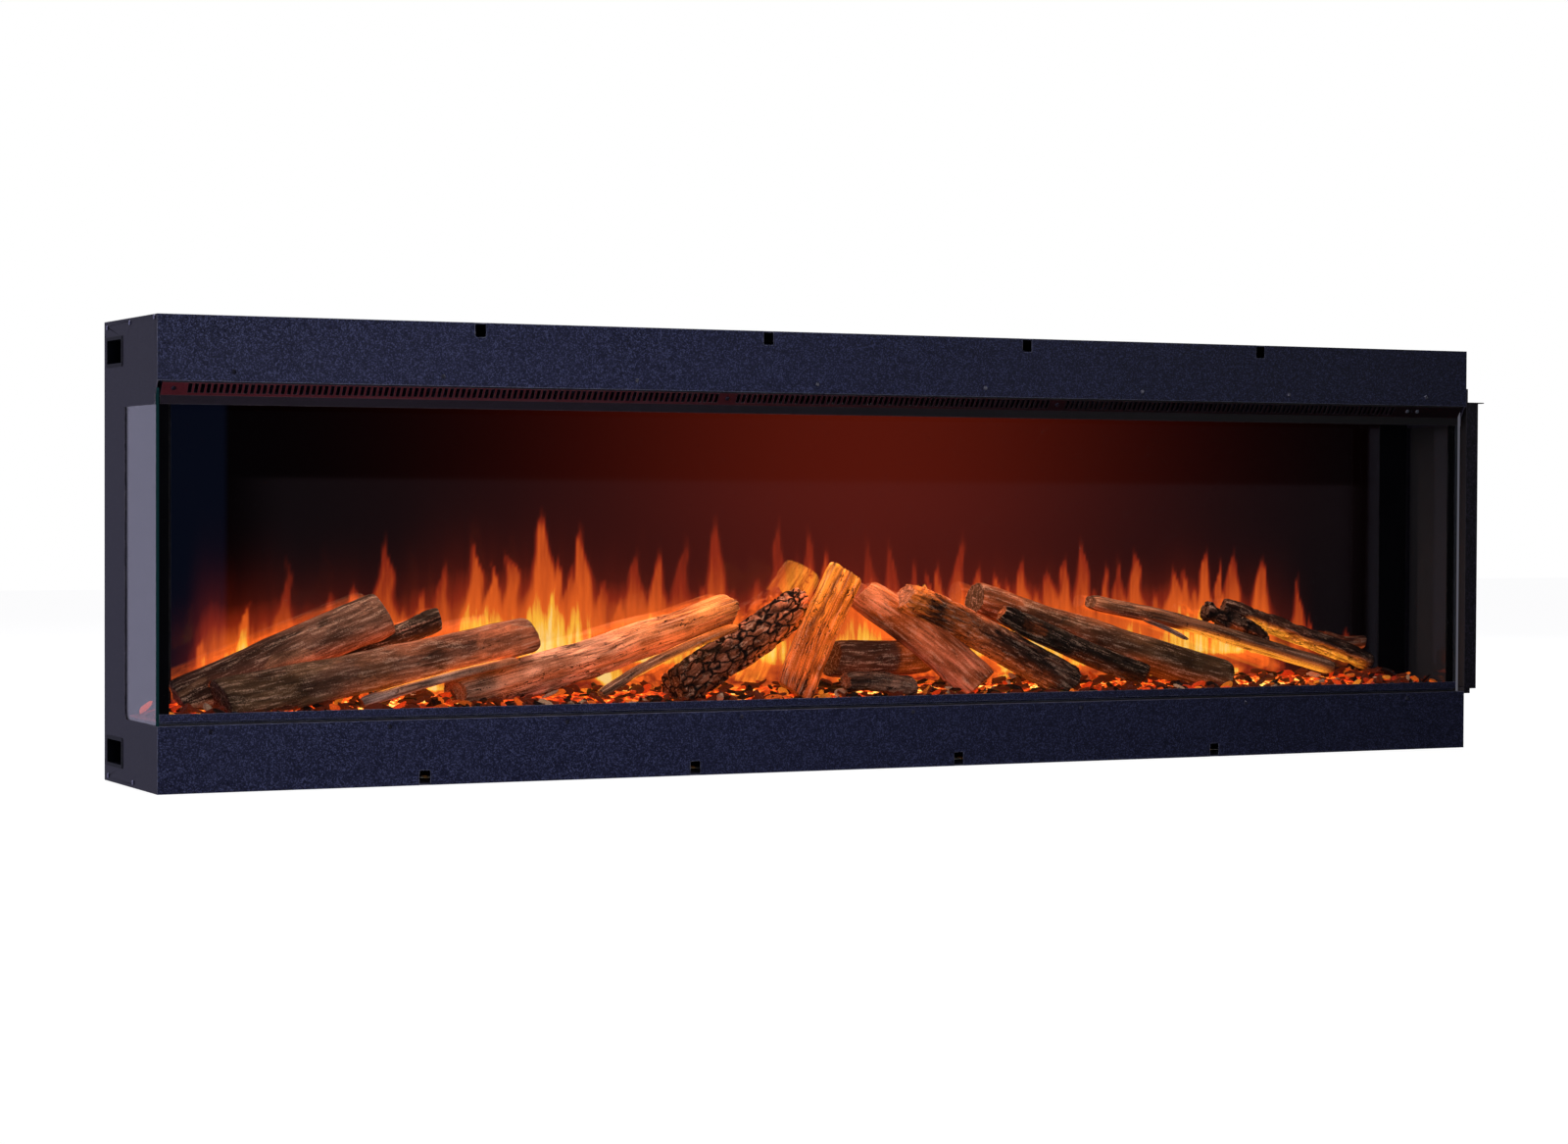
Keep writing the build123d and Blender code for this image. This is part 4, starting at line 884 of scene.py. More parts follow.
# The small logs from left to right
SMALL_LOGS = {
    "charred_left": (
        FURROWED, 1.2, [(44, 38, 26), (50, 42, 30), (40, 32, 26)], (12, 10, 8), (34, 26, 20), [],
        [(0.0, 1.0, BACK, ORANGE, 2.8), (0.3, 1.0, UNDER, ORANGE, 0.12)],
    ),
    "split_left": (
        PLANK, 1.25, [(150, 132, 128), (172, 150, 140), (158, 122, 104), (190, 120, 80)],
        (70, 50, 44), (190, 108, 70), [],
        [(0.12, 0.9, UPPER, AMBER, 1.4), (0.0, 1.0, BACK, AMBER, 2.8), (0.0, 1.0, UNDER, ORANGE, 0.25)],
    ),
    "slim": (
        PLANK, 1.15, [(120, 88, 70), (150, 104, 78), (190, 116, 66), (226, 130, 54)],
        (60, 38, 26), (170, 104, 66), [],
        [(0.2, 0.85, UNDER, AMBER, 1.3), (0.0, 1.0, BACK, AMBER, 2.8), (0.5, 1.0, UPPER, ORANGE, 0.3)],
    ),
    "front_stub": (
        FURROWED, 1.25, [(112, 84, 72), (140, 108, 92), (110, 78, 64)], (24, 16, 14), (196, 104, 66), [],
        [(0.0, 1.0, BACK, ORANGE, 2.3)],
    ),
    "back_low": (
        SMOOTH, 1.3, [(60, 40, 32), (84, 54, 42), (130, 66, 38)], (26, 16, 12), (90, 50, 32), [],
        [(0.0, 1.0, BACK, ORANGE, 2.8), (0.6, 1.0, FRONT, ORANGE, 0.3)],
    ),
    "glow_stub": (
        SPLIT, 1.2, [(232, 130, 50), (250, 160, 60), (255, 186, 80)], (170, 70, 20), (255, 180, 80), [],
        [(0.0, 1.0, FRONT, ORANGE, 0.6), (0.0, 1.0, BACK, AMBER, 2.8), (0.0, 1.0, UPPER, AMBER, 0.5)],
    ),
    "charred_right": (
        FURROWED, 1.25, [(46, 40, 30), (42, 36, 28), (34, 30, 24)], (10, 8, 6), (190, 92, 40), [],
        [(0.0, 1.0, BACK, ORANGE, 2.8), (0.0, 0.5, UNDER, ORANGE, 0.12), (0.985, 1.0, UPPER, ORANGE, 0.3)],
    ),
    "splinter": (
        PLANK, 1.1, [(170, 130, 110), (196, 168, 158), (186, 150, 140), (220, 120, 60)],
        (90, 60, 50), (222, 120, 60), [],
        [(0.0, 1.0, BACK, AMBER, 2.3), (0.9, 1.0, FRONT, ORANGE, 0.4)],
    ),
    "back_right": (
        PLANK, 1.35, [(96, 72, 56), (104, 78, 60), (116, 80, 56), (132, 88, 58)],
        (50, 32, 24), (120, 80, 54), [],
        [(0.02, 0.62, UNDER, AMBER, 1.5), (0.0, 1.0, BACK, ORANGE, 2.8)],
    ),
    "back_stub": (
        BARK, 1.2, [(52, 40, 34), (64, 50, 42), (58, 42, 34)], (14, 10, 8), (96, 66, 50), [],
        [(0.0, 1.0, BACK, ORANGE, 2.5), (0.0, 0.6, UNDER, ORANGE, 0.3)],
    ),
    "far_right": (
        FURROWED, 1.25, [(58, 40, 30), (74, 50, 38), (84, 54, 40), (70, 46, 36)],
        (20, 12, 10), (96, 62, 44), [],
        [(0.05, 0.85, UNDER, AMBER, 1.5), (0.0, 1.0, BACK, ORANGE, 2.5)],
    ),
    "far_stub": (
        SMOOTH, 1.2, [(84, 48, 32), (96, 52, 34), (80, 44, 30)], (24, 12, 10), (140, 70, 40), [],
        [(0.0, 1.0, BACK, ORANGE, 2.3), (0.0, 1.0, UNDER, ORANGE, 0.3)],
    ),
}


def relief(kind, along, ring, seed):
    """Height in metres and depth of crack from 0 to 1, over a log's skin. ring is the place round it."""
    place_on = np.stack([along, ring[0], ring[1]], axis=-1)
    fine = layered(place_on * (60, 260, 260), seed + 40) - 0.5
    if kind == BARK:
        lines = np.abs(2 * layered(place_on * (26, 84, 84), seed, 2) - 1)
        steps = np.abs(2 * layered(place_on * (74, 34, 34), seed + 9, 2) - 1)
        crack = np.maximum(ease(lines, 0.16, 0.0), 0.9 * ease(steps, 0.12, 0.0))
        return 0.0045 * layered(place_on * (40, 70, 70), seed + 5, 2) - 0.0055 * crack + 0.0008 * fine, crack
    if kind == FURROWED:
        lines = np.abs(2 * layered(place_on * (11, 96, 96), seed, 3) - 1)
        steps = np.abs(2 * layered(place_on * (60, 30, 30), seed + 9, 2) - 1)
        crack = np.maximum(ease(lines, 0.2, 0.0), 0.45 * ease(steps, 0.08, 0.0))
        return 0.003 * layered(place_on * (14, 60, 60), seed + 5, 2) - 0.0032 * crack + 0.0007 * fine, crack
    if kind == SMOOTH:
        lines = np.abs(2 * layered(place_on * (9, 84, 84), seed, 3) - 1)
        crack = 0.85 * ease(lines, 0.1, 0.0) * ease(layered(place_on * (14, 20, 20), seed + 3, 2), 0.4, 0.56)
        return 0.0034 * layered(place_on * (18, 40, 40), seed + 5, 3) - 0.0018 * crack + 0.0006 * fine, crack
    lines = np.abs(2 * layered(place_on * (7, 120, 120), seed, 3) - 1)
    crack = 0.95 * ease(lines, 0.17, 0.0) * ease(layered(place_on * (10, 26, 26), seed + 3, 2), 0.34, 0.52)
    return 0.0024 * layered(place_on * (8, 110, 110), seed + 5, 2) - 0.0024 * crack + 0.0007 * fine, crack


def outline(kind, turn, seed):
    """Radius of a log's section round its axis, as a share of its full radius."""
    if kind == PLANK:
        flat = 1 / np.sqrt(np.cos(turn) ** 2 / 1.0 + np.sin(turn) ** 2 / 0.3)
        return np.minimum(flat * 1.1, 1.0)
    oval = 1 + 0.05 * np.cos(2 * turn + seed)
    if kind == SPLIT:
        for flat_turn, distance in ((0.4 + seed, 0.78), (2.1 + seed, 0.7), (4.0 + seed, 0.84)):
            facing = np.cos(turn - flat_turn)
            oval = np.where(facing > 0.2, np.minimum(oval, distance / np.maximum(facing, 0.2)), oval)
    return oval


def log_mesh(name, points, spec, seed, rings, sides, material):
    """A cast log with bark, cracks, knots and rough cut ends, on the axis of its CAD solid."""
    kind, girth, tones, crack_tone, cut_tone, knots, painted_glows = spec
    foot, head, foot_radius, head_radius = log_axis(points)
    run = head - foot
    length = np.linalg.norm(run)
    axis = run / length
    across = np.cross(axis, (0, 0, 1.0))
    across /= np.linalg.norm(across)
    lift = np.cross(across, axis)
    cap = (0.14, 0.32, 0.5, 0.66, 0.8, 0.91, 0.975)  # radii of the points on a cut end, as shares
    share = np.concatenate([np.zeros(len(cap)), np.linspace(0, 1, rings), np.ones(len(cap))])
    shrink = np.concatenate([cap, np.ones(rings), cap[::-1]])
    inner = shrink < 1
    turn = np.arange(sides) * 2 * math.pi / sides
    t, phi = np.meshgrid(share, turn, indexing="ij")
    radius = girth * (foot_radius + (head_radius - foot_radius) * t)
    ring = (np.cos(phi) * radius, np.sin(phi) * radius)
    height, crack = relief(kind, t * length, ring, seed)
    reach = radius * outline(kind, phi, seed * 0.7) * (1 + 0.1 * (layered(
        np.stack([t * length * 9, ring[0] * 26, ring[1] * 26], axis=-1), seed + 21, 2) - 0.5))
    dent = np.zeros_like(t)
    for knot_share, knot_turn in knots:
        gap = np.angle(np.exp(1j * (phi - math.radians(knot_turn)))) * radius
        away = np.hypot((t - knot_share) * length, gap * 1.3)
        swell = np.exp(-((away / 0.012) ** 2))
        eye = np.exp(-(((away - 0.007) / 0.0022) ** 2)) + 0.8 * np.exp(-((away / 0.003) ** 2))
        dent += 0.004 * swell - 0.003 * eye
        crack = np.maximum(crack, 0.85 * np.clip(eye, 0, 1))
    height = height - 0.0012 * PEELING[kind] * ease(layered(
        np.stack([t * length * 15, ring[0] * 34, ring[1] * 34], axis=-1), seed + 70, 3), 0.55, 0.6)
    near_end = np.minimum(t, 1 - t) * length
    chipped = 0.0022 * np.exp(-near_end / 0.004)
    full = reach + height + dent - chipped
    size = full * shrink[:, None]
    tilt_turn = 1.3 * seed
    slant = 0.22 * np.cos(phi - tilt_turn) * size
    settle = np.exp(-near_end / 0.03)
    side_sign = np.where(t < 0.5, 1.0, -1.0)
    cut_place = np.stack([size * np.cos(phi) * 160, size * np.sin(phi) * 160, t * 50 + seed], axis=-1)
    rough_cut = 0.0035 * (layered(cut_place, seed + 60, 3) - 0.5)
    rings_cut = 0.0006 * np.sin(size / 0.0019)
    inward = np.where(inner[:, None], rough_cut + rings_cut, 0.0) * side_sign
    bow = 0.006 * np.sin(math.pi * t) * math.sin(seed) + 0.0024 * (
        soft_noise(np.stack([t * length * 14, t * 0, t * 0 + seed], axis=-1), seed + 80) - 0.5
    )
    shift = t * length + slant * settle + inward
    where = (
        foot
        + shift[..., None] * axis
        + (size * np.cos(phi))[..., None] * across
        + (size * np.sin(phi) + bow)[..., None] * lift
    )
    normal = np.cos(phi)[..., None] * across + np.sin(phi)[..., None] * lift
    normal = np.where(inner[:, None, None], -side_sign[..., None] * axis, normal)
    skin_place = np.stack([t * length, ring[0] * shrink[:, None], ring[1] * shrink[:, None]], axis=-1)

    # The tones are the log's own colour with painted firelight mixed in: where they turn brighter and oranger
    # toward the lit end, that is painted light.
    stops = np.linspace(0, 1, len(tones))
    palette = np.array([srgb(*tone) for tone in tones])
    drift = layered(skin_place * (9, 22, 22), seed + 30, 3)
    at = np.clip(t + 0.16 * (drift - 0.5), 0, 1)
    tone = np.stack([np.interp(at, stops, palette[:, k]) for k in range(3)], axis=-1)
    patch = 0.3 + 1.4 * ease(layered(skin_place * (28, 70, 70), seed + 31, 3), 0.22, 0.78)
    tone = tone * patch[..., None] * PAINT_DEPTH
    peeled = ease(layered(skin_place * (15, 34, 34), seed + 70, 3), 0.55, 0.6)[..., None] * PEELING[kind]
    tone = tone * (1 - peeled) + peeled * np.array(srgb(*cut_tone)) * (0.3 + 0.5 * patch[..., None])
    fleck = layered(skin_place * (90, 300, 300), seed + 33, 2)
    tone = tone * (0.72 + 0.56 * fleck)[..., None]
    dark = np.array(srgb(*crack_tone))
    tone = tone * (1 - crack[..., None]) + dark * crack[..., None]
    cut = np.array(srgb(*cut_tone)) * (0.6 + 0.5 * layered(cut_place * 0.6, seed + 61, 3))[..., None]
    cut = cut * (0.78 + 0.22 * np.sin(size / 0.0019))[..., None]
    cut_share = np.where(inner[:, None], ease(shrink, 1.0, 0.93)[:, None], 0.0)[..., None]
    tone = tone * (1 - cut_share) + cut * cut_share

    # Painted glow: emission on the sides that face the flames and the embers, for the orange light that falls
    # there.
    glow = np.zeros_like(tone)
    for start, end, side, colour, strength in painted_glows:
        side = np.array(side) / np.linalg.norm(side)
        turned = ease(normal @ side, 0.25, 0.95)
        window = ease(t, start - 0.04, start + 0.04) * ease(t, end + 0.04, end - 0.04)
        patchy = 0.45 + 0.8 * layered(skin_place * (16, 44, 44), seed + 50, 2)
        part = strength * turned * window * patchy * (1 - 0.6 * crack)
        heat = np.clip(part, 0, 1)[..., None]
        glow = glow + part[..., None] * (np.array(ORANGE) * (1 - heat) + np.array(colour) * heat)

    count = len(share)
    end_points = [foot + inward[0].mean() * axis, head + inward[-1].mean() * axis]
    for index, end in enumerate(end_points):
        end_points[index] = end + bow[0 if index == 0 else -1, 0] * lift
    all_points = np.concatenate([where.reshape(-1, 3), np.array(end_points)])
    faces = []
    for r in range(count - 1):
        for c in range(sides):
            following = (c + 1) % sides
            faces.append(
                (r * sides + c, (r + 1) * sides + c, (r + 1) * sides + following, r * sides + following)
            )
    first, last = count * sides, count * sides + 1
    for c in range(sides):
        following = (c + 1) % sides
        faces.append((c, following, first))
        faces.append(((count - 1) * sides + following, (count - 1) * sides + c, last))
    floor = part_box("bed_tray")[1].z + 0.0005
    all_points[:, 2] = np.maximum(all_points[:, 2], floor)
    nearest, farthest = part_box("front_glass")[1].y + 0.0005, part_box("flame_screen")[0].y - 0.0005
    all_points[:, 1] = np.clip(all_points[:, 1], nearest, farthest)

    def with_ends(values):
        """Per-point values with those of the two end points added."""
        flat = values.reshape(-1, values.shape[-1])
        return np.concatenate([flat, flat[:1], flat[-1:]])

    piece = new_piece(name, all_points, faces, material)
    colour_layer(piece.data, "tone", with_ends(tone))
    colour_layer(piece.data, "glow", with_ends(glow))
    vector_layer(piece.data, "grain", with_ends(skin_place))
    return piece


# Operators


class FIRE_OT_case(bpy.types.Operator):
    """Paint the steel case, the side cover, the screws and the grips"""

    bl_idname = "fire.case"
    bl_label = "Case"

    def execute(self, context):
        steel = ("top_panel", "rear_panel", "base_tray", "lower_front_rail", "glass_channel")
        sides = ("left_side_panel", "right_side_panel")
        dress(case_coat(), "upper_fascia", "lower_fascia", *steel)
        dress(side_coat_offset_for_room_light(), *sides)
        dress(cover_coat(), "side_cover")
        soften(sizes().edge, *steel, *sides, "side_cover")
        dress(metal("Screw steel", srgb(150, 150, 172), 0.3, wear=1.0), "case_screws")
        dress(moulded("Grip plastic", srgb(5, 6, 14), 0.5, dust=0.02, specular=0.12), "grip_cups")
        return {"FINISHED"}


class FIRE_OT_outlet(bpy.types.Operator):
    """Paint the warm air outlet with its buttons and receiver"""

    bl_idname = "fire.outlet"
    bl_label = "Outlet and buttons"

    def execute(self, context):
        dress(outlet_coat(), "outlet_grille")
        dress(moulded("Button gloss", srgb(84, 88, 98), 0.14, coat=1.0), "power_button", "mode_button")
        dress(moulded("Receiver lens", srgb(16, 8, 18), 0.14, coat=1.0), "remote_receiver")
        dress(moulded("Module plastic", srgb(16, 16, 18), 0.5), "button_module")
        return {"FINISHED"}


class FIRE_OT_glass(bpy.types.Operator):
    """Give the three panes, their seals and the chamber its finishes"""

    bl_idname = "fire.glass"
    bl_label = "Glass and chamber"

    def execute(self, context):
        dress(clear_glass("Front glass", "Y", srgb(40, 60, 66), 0.1), "front_glass")
        dress(clear_glass("Left glass", "X", srgb(40, 92, 98), 0.16), "left_glass")
        dress(clear_glass("Right glass", "X", srgb(120, 120, 132), 0.5), "right_glass")
        dress(moulded("Corner rubber", srgb(4, 4, 6), 0.7, dust=0.02, specular=0.05), "corner_seals")
        dress(lining_coat(), "chamber_ceiling", "bed_tray")
        dress(moulded("Screen end paint", srgb(5, 5, 8), 0.6, dust=0.02, specular=0.08), "screen_ends")
        return {"FINISHED"}


FLAMES = (
    # place, tip height, strength
    (-904, 189, 0.85), (-880, 150, 0.7), (-847, 237, 0.95), (-820, 170, 0.6), (-792, 299, 0.35),
    (-772, 211, 0.7), (-731, 253, 0.45), (-705, 263, 0.75), (-660, 328, 0.62), (-636, 230, 0.6),
    (-611, 256, 0.55), (-580, 294, 0.4), (-531, 324, 0.8), (-507, 289, 0.95), (-479, 308, 0.6),
    (-434, 363, 0.9), (-415, 300, 0.8), (-394, 290, 0.6), (-376, 345, 0.8), (-345, 271, 0.5),
    (-318, 240, 0.6), (-296, 308, 0.5), (-258, 308, 0.75), (-224, 327, 0.42), (-196, 260, 0.5),
    (-177, 356, 0.55), (-150, 250, 0.5), (-118, 270, 0.4), (-78, 356, 0.42), (-35, 342, 0.45),
    (-7, 311, 0.5), (30, 270, 0.4), (62, 330, 0.3), (93, 325, 0.42), (138, 297, 0.5),
    (164, 279, 0.6), (181, 292, 0.62), (210, 334, 0.5), (244, 287, 0.55), (275, 276, 0.6),
    (297, 250, 0.6), (319, 297, 0.62), (340, 250, 0.55), (362, 280, 0.62), (385, 297, 0.66),
    (410, 322, 0.6), (432, 250, 0.6), (455, 286, 0.66), (480, 296, 0.5), (511, 306, 0.75),
    (540, 240, 0.5), (569, 283, 0.66), (586, 277, 0.6), (604, 250, 0.6), (627, 306, 0.78),
    (657, 293, 0.72), (681, 306, 0.66), (729, 293, 0.85), (795, 266, 0.62), (822, 203, 0.6),
    (885, 182, 0.55), (955, 175, 0.4),
)
HOT_PLACES = (
    # place, half width, height, strength
    (-880, 40, 60, 0.6), (-700, 90, 70, 0.5), (-540, 60, 110, 0.75), (-430, 60, 110, 0.8),
    (-330, 60, 90, 0.6), (-200, 90, 70, 0.6), (-90, 40, 80, 0.9), (40, 60, 90, 1.0),
    (260, 60, 80, 1.0), (330, 50, 70, 0.8), (460, 60, 70, 0.55), (590, 50, 90, 0.85),
    (700, 60, 60, 0.5),
)


SMALL_TONGUES = 90
BORDER = 870  # half width, in millimetres, between the dark borders of the flame screen
# Below the plain upper band the screen carries a grey painted reflection; the glow high on the screen is a
# painted red glow.
UPPER_BAND = 390  # height, in millimetres, at which the screen's plain upper band begins
PAINTED_GLOW_PLACE, PAINTED_GLOW_SPREAD = 60, 400  # middle and half width of the glow high on the screen


def flame_level(x, z, foot):
    """Strength of the flames from 0 to 1 over the screen, from places in millimetres."""
    dark = np.ones_like(x)
    flat = np.zeros_like(x)
    wave = soft_noise(np.stack([x * 0.012, z * 0.016, flat], axis=-1), 5) - 0.5
    sway = soft_noise(np.stack([x * 0.045, z * 0.03, flat], axis=-1), 6) - 0.5
    rng = np.random.default_rng(12)
    tongues = [(*flame, 1.0) for flame in FLAMES]
    for _ in range(SMALL_TONGUES):
        place_x = rng.uniform(-860, 860)
        tall = 150 + 170 * math.exp(-((place_x - 40) / 420) ** 2) * rng.uniform(0.4, 1.0)
        tongues.append((place_x, tall, rng.uniform(0.12, 0.34), rng.uniform(0.35, 0.7)))
    for tip_x, tip_z, strength, breadth in tongues:
        lean = rng.uniform(-14, 14)
        rise = np.clip((z - foot) / (tip_z - foot), 0, 1)
        half = breadth * (6 + 0.08 * (tip_z - foot)) * rng.uniform(0.75, 1.15)
        half = half * (1 - rise) ** 0.85 * (1 + 0.35 * np.sin(math.pi * rise)) + 0.6
        centre = tip_x + lean * (1 - rise) ** 1.6 + 16 * wave * rise + 9 * sway
        away = np.abs(x - centre) / half
        body = ease(away, 1.25, 0.45)
        rim = 0.82 + 0.18 * ease(away, 0.1, 0.75)
        fall = 0.5 + 0.5 * (1 - rise) ** 1.1
        fade = ease(rise, 1.0, 0.84)
        dark *= 1 - np.clip(1.2 * strength * body * rim * fall * fade, 0, 0.97)
    for place_x, half, tall, strength in HOT_PLACES:
        lump = np.exp(-(((x + 20 * wave - place_x) / half) ** 2))
        dark *= 1 - 0.85 * strength * lump * np.exp(-(((z - foot - 50) / tall) ** 2))
    patch = layered(np.stack([x * 0.021, z * 0.013, flat], axis=-1), 15, 2)
    clump = layered(np.stack([x * 0.024, z * 0.06, flat], axis=-1), 17, 3)
    band = 0.8 * np.exp(-(((z - foot - 45) / 85) ** 2)) * (0.25 + 1.1 * patch)
    reach = ease(x, -925, -890) * ease(x, 830, 690)
    dark *= 1 - np.clip(band * reach, 0, 0.9)
    lumps = reach * (0.3 + 0.75 * ease(clump, 0.25, 0.75))
    low_share = ease(z, foot + 75, foot + 25)
    return (1 - dark) * (1 - low_share) + lumps * low_share


class FIRE_OT_flames(bpy.types.Operator):
    """Build the flame screen with its flames"""

    bl_idname = "fire.flames"
    bl_label = "Flames"

    def execute(self, context):
        low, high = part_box("flame_screen")
        cell = sizes().flame_cell
        columns = int((high.x - low.x) / cell) + 1
        rows = int((high.z - low.z) / cell) + 1
        x, z = np.meshgrid(np.linspace(low.x, high.x, columns), np.linspace(low.z, high.z, rows))
        front = np.stack([x, np.full_like(x, low.y), z], axis=-1).reshape(-1, 3)
        rim = [(x_place, high.y, low.z) for x_place in (low.x, high.x)]
        rim += [(x_place, high.y, high.z) for x_place in (high.x, low.x)]
        faces = sheet_faces(rows, columns)
        start = len(front)
        edges = (
            [c for c in range(columns)],
            [r * columns + columns - 1 for r in range(rows)],
            [(rows - 1) * columns + c for c in reversed(range(columns))],
            [r * columns for r in reversed(range(rows))],
        )
        for side, edge in enumerate(edges):
            faces.append((*reversed(edge), start + side, start + (side + 1) % 4))
        faces.append((start + 3, start + 2, start + 1, start))
        points = np.concatenate([front, np.array(rim)])
        piece = new_piece("flame_sheet", points, faces, flame_skin(), smooth=False)
        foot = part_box("bed_tray")[1].z / MM
        mm_x, mm_z = x / MM, z / MM
        level = flame_level(mm_x, mm_z, foot).ravel()
        painted_haze = self.painted_haze(mm_x, mm_z)
        number_layer(piece.data, "blaze", np.concatenate([level, np.zeros(4)]))
        colour_layer(piece.data, "painted_haze", np.concatenate([painted_haze.reshape(-1, 3), np.zeros((4, 3))]))
        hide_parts("flame_screen")
        return {"FINISHED"}

    def painted_haze(self, x, z):
        """Painted light over the screen: a painted red glow high up, a grey painted reflection low down and a
        blue painted sheen in the left border.
        """
        across = np.exp(-((np.abs(x - PAINTED_GLOW_PLACE) / PAINTED_GLOW_SPREAD) ** 2.0))
        upward = 0.35 + 0.65 * ease(z, 120, 380)
        red = (across * upward)[..., None] * np.array(colours().painted_back_glow)
        lower = ease(z, UPPER_BAND + 6, UPPER_BAND - 2) * ease(x, -880, -780) * ease(x, 930, 860)
        grey = lower[..., None] * np.array(srgb(12, 9, 11))
        border = ease(np.abs(x), BORDER - 2, BORDER + 4) * ease(z, 0, 10)
        return red + grey + (border * (x < 0))[..., None] * np.array(srgb(4, 8, 20))


EMBER_HEAT = (
    # place across, place behind the glass, spread, strength
    (-930, 20, 40, 0.6), (-700, 30, 60, 0.8), (-560, 30, 60, 0.9), (-330, 20, 60, 1.0),
    (-150, 30, 60, 0.8), (-20, 30, 60, 0.9), (130, 40, 70, 0.9), (250, 40, 60, 1.3),
    (330, 30, 50, 1.2), (450, 40, 60, 1.0), (640, 30, 60, 1.0), (760, 30, 60, 0.8),
)


def bed_height(x, y, low, high):
    """Height of the bed's heap at a place: low at the front and at both ends, higher behind."""
    behind = ease(np.asarray(y), low.y, low.y + 0.075)
    ends = ease(np.abs(np.asarray(x)), high.x, high.x - 0.07)
    return high.z - 0.003 + 0.015 * behind * ends


class FIRE_OT_embers(bpy.types.Operator):
    """Build the glowing bed and its bark chips"""

    bl_idname = "fire.embers"
    bl_label = "Embers"

    def execute(self, context):
        low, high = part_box("ember_bed")
        columns, rows = 420, 32
        x, y = np.meshgrid(np.linspace(low.x, high.x, columns), np.linspace(low.y, high.y, rows))
        flat = np.zeros_like(x)
        lumps = layered(np.stack([x * 70, y * 70, flat], axis=-1), 3, 3)
        top = bed_height(x, y, low, high) + 0.005 * lumps
        surface = np.stack([x, y, top], axis=-1).reshape(-1, 3)
        base = surface.copy()
        base[:, 2] = low.z
        count = len(surface)
        faces = sheet_faces(rows, columns)
        rim = (
            [c for c in range(columns)]
            + [r * columns + columns - 1 for r in range(1, rows)]
            + [(rows - 1) * columns + c for c in reversed(range(columns - 1))]
            + [r * columns for r in reversed(range(1, rows - 1))]
        )
        lower = {point: count + index for index, point in enumerate(rim)}
        for here, following in zip(rim, rim[1:] + rim[:1]):
            faces.append((here, lower[here], lower[following], following))
        faces.append(tuple(lower[point] for point in reversed(rim)))
        bed = new_piece("ember_slab", np.concatenate([surface, base[rim]]), faces, ember_skin())
        heat = 0.62 + 0.35 * layered(np.stack([x * 12, y * 20, flat], axis=-1), 8, 2)
        for place_x, behind, spread, strength in EMBER_HEAT:
            away = np.hypot(x / MM - place_x, (y - low.y) / MM * 1.2 - behind)
            heat = heat + 0.4 * strength * np.exp(-((away / spread) ** 2))
        heat = heat * ease(x, -0.985, -0.93) * ease(x, 0.98, 0.8)
        number_layer(bed.data, "warmth", np.concatenate([heat.ravel(), np.full(len(rim), 0.3)]))
        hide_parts("ember_bed")
        self.lay_chips(low, high)
        return {"FINISHED"}

    def lay_chips(self, low, high):
        """Scatters irregular chips over the bed, more of them in front."""
        rng = np.random.default_rng(44)
        shard, shard_faces = shard_shape()
        points, faces, tones, painted_glows = [], [], [], []
        margin = 0.012
        for _ in range(sizes().chip_count):
            x = rng.uniform(low.x + margin, high.x - margin)
            y = low.y + margin / 3 + (high.y - low.y - margin) * rng.random() ** 1.9
            size = sizes().chip * rng.uniform(0.5, 1.5)
            shape = shard * (1 + 0.34 * (rng.random((len(shard), 1)) - 0.5))
            shape = shape * (size * 0.5, size * rng.uniform(0.12, 0.26), size * rng.uniform(0.07, 0.16))
            spin = Matrix.Rotation(rng.uniform(0, math.tau), 3, "Z")
            spin = spin @ Matrix.Rotation(rng.normal(0, 0.3), 3, "Y")
            spin = spin @ Matrix.Rotation(rng.normal(0, 0.5), 3, "X")
            shape = shape @ np.array(spin).T
            rise = bed_height(x, y, low, high) + 0.003 - shape[:, 2].min() * 0.5 + rng.uniform(0, 0.004)
            shape = shape + (x, y, rise)
            shape[:, 1] = np.maximum(shape[:, 1], low.y)
            start = len(points) * len(shard)
            points.append(shape)
            faces.extend(tuple(start + corner for corner in face) for face in shard_faces)
            # Painted ember light: the lit chips' red tone and glow, and the faint glow of the rest.
            kind = rng.random()
            if kind < 0.5:
                tone, glow = srgb(66, 24, 16), (0.05, 0.006, 0.001)
            elif kind < 0.74:
                tone, glow = srgb(26, 14, 10), (0.0, 0.0, 0.0)
            elif kind < 0.955:
                lit = toward(EMBER_RED, AMBER, rng.random() ** 2)
                tone, glow = srgb(170, 50, 22), darker(lit, rng.uniform(0.15, 0.8))
            else:
                tone, glow = srgb(186, 150, 124), (0.02, 0.006, 0.0)
            spread_tone = rng.uniform(0.6, 1.3)
            tones.append(np.tile(darker(tone, spread_tone), (len(shard), 1)))
            painted_glows.append(np.tile(glow, (len(shard), 1)))
        piece = new_piece("bark_chips", np.concatenate(points), faces, chip_skin(), smooth=False)
        colour_layer(piece.data, "tone", np.concatenate(tones))
        colour_layer(piece.data, "glow", np.concatenate(painted_glows))
        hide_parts("ember_chips")


def shard_shape():
    """Points and faces of a small rounded shard, one unit in radius."""
    shape = bpy.data.meshes.new("shard")
    build = bmesh.new()
    bmesh.ops.create_icosphere(build, subdivisions=2, radius=1.0)
    build.to_mesh(shape)
    build.free()
    points = np.array([tuple(v.co) for v in shape.vertices])
    faces = [tuple(p.vertices) for p in shape.polygons]
    bpy.data.meshes.remove(shape)
    return np.sign(points) * np.abs(points) ** 0.8, faces


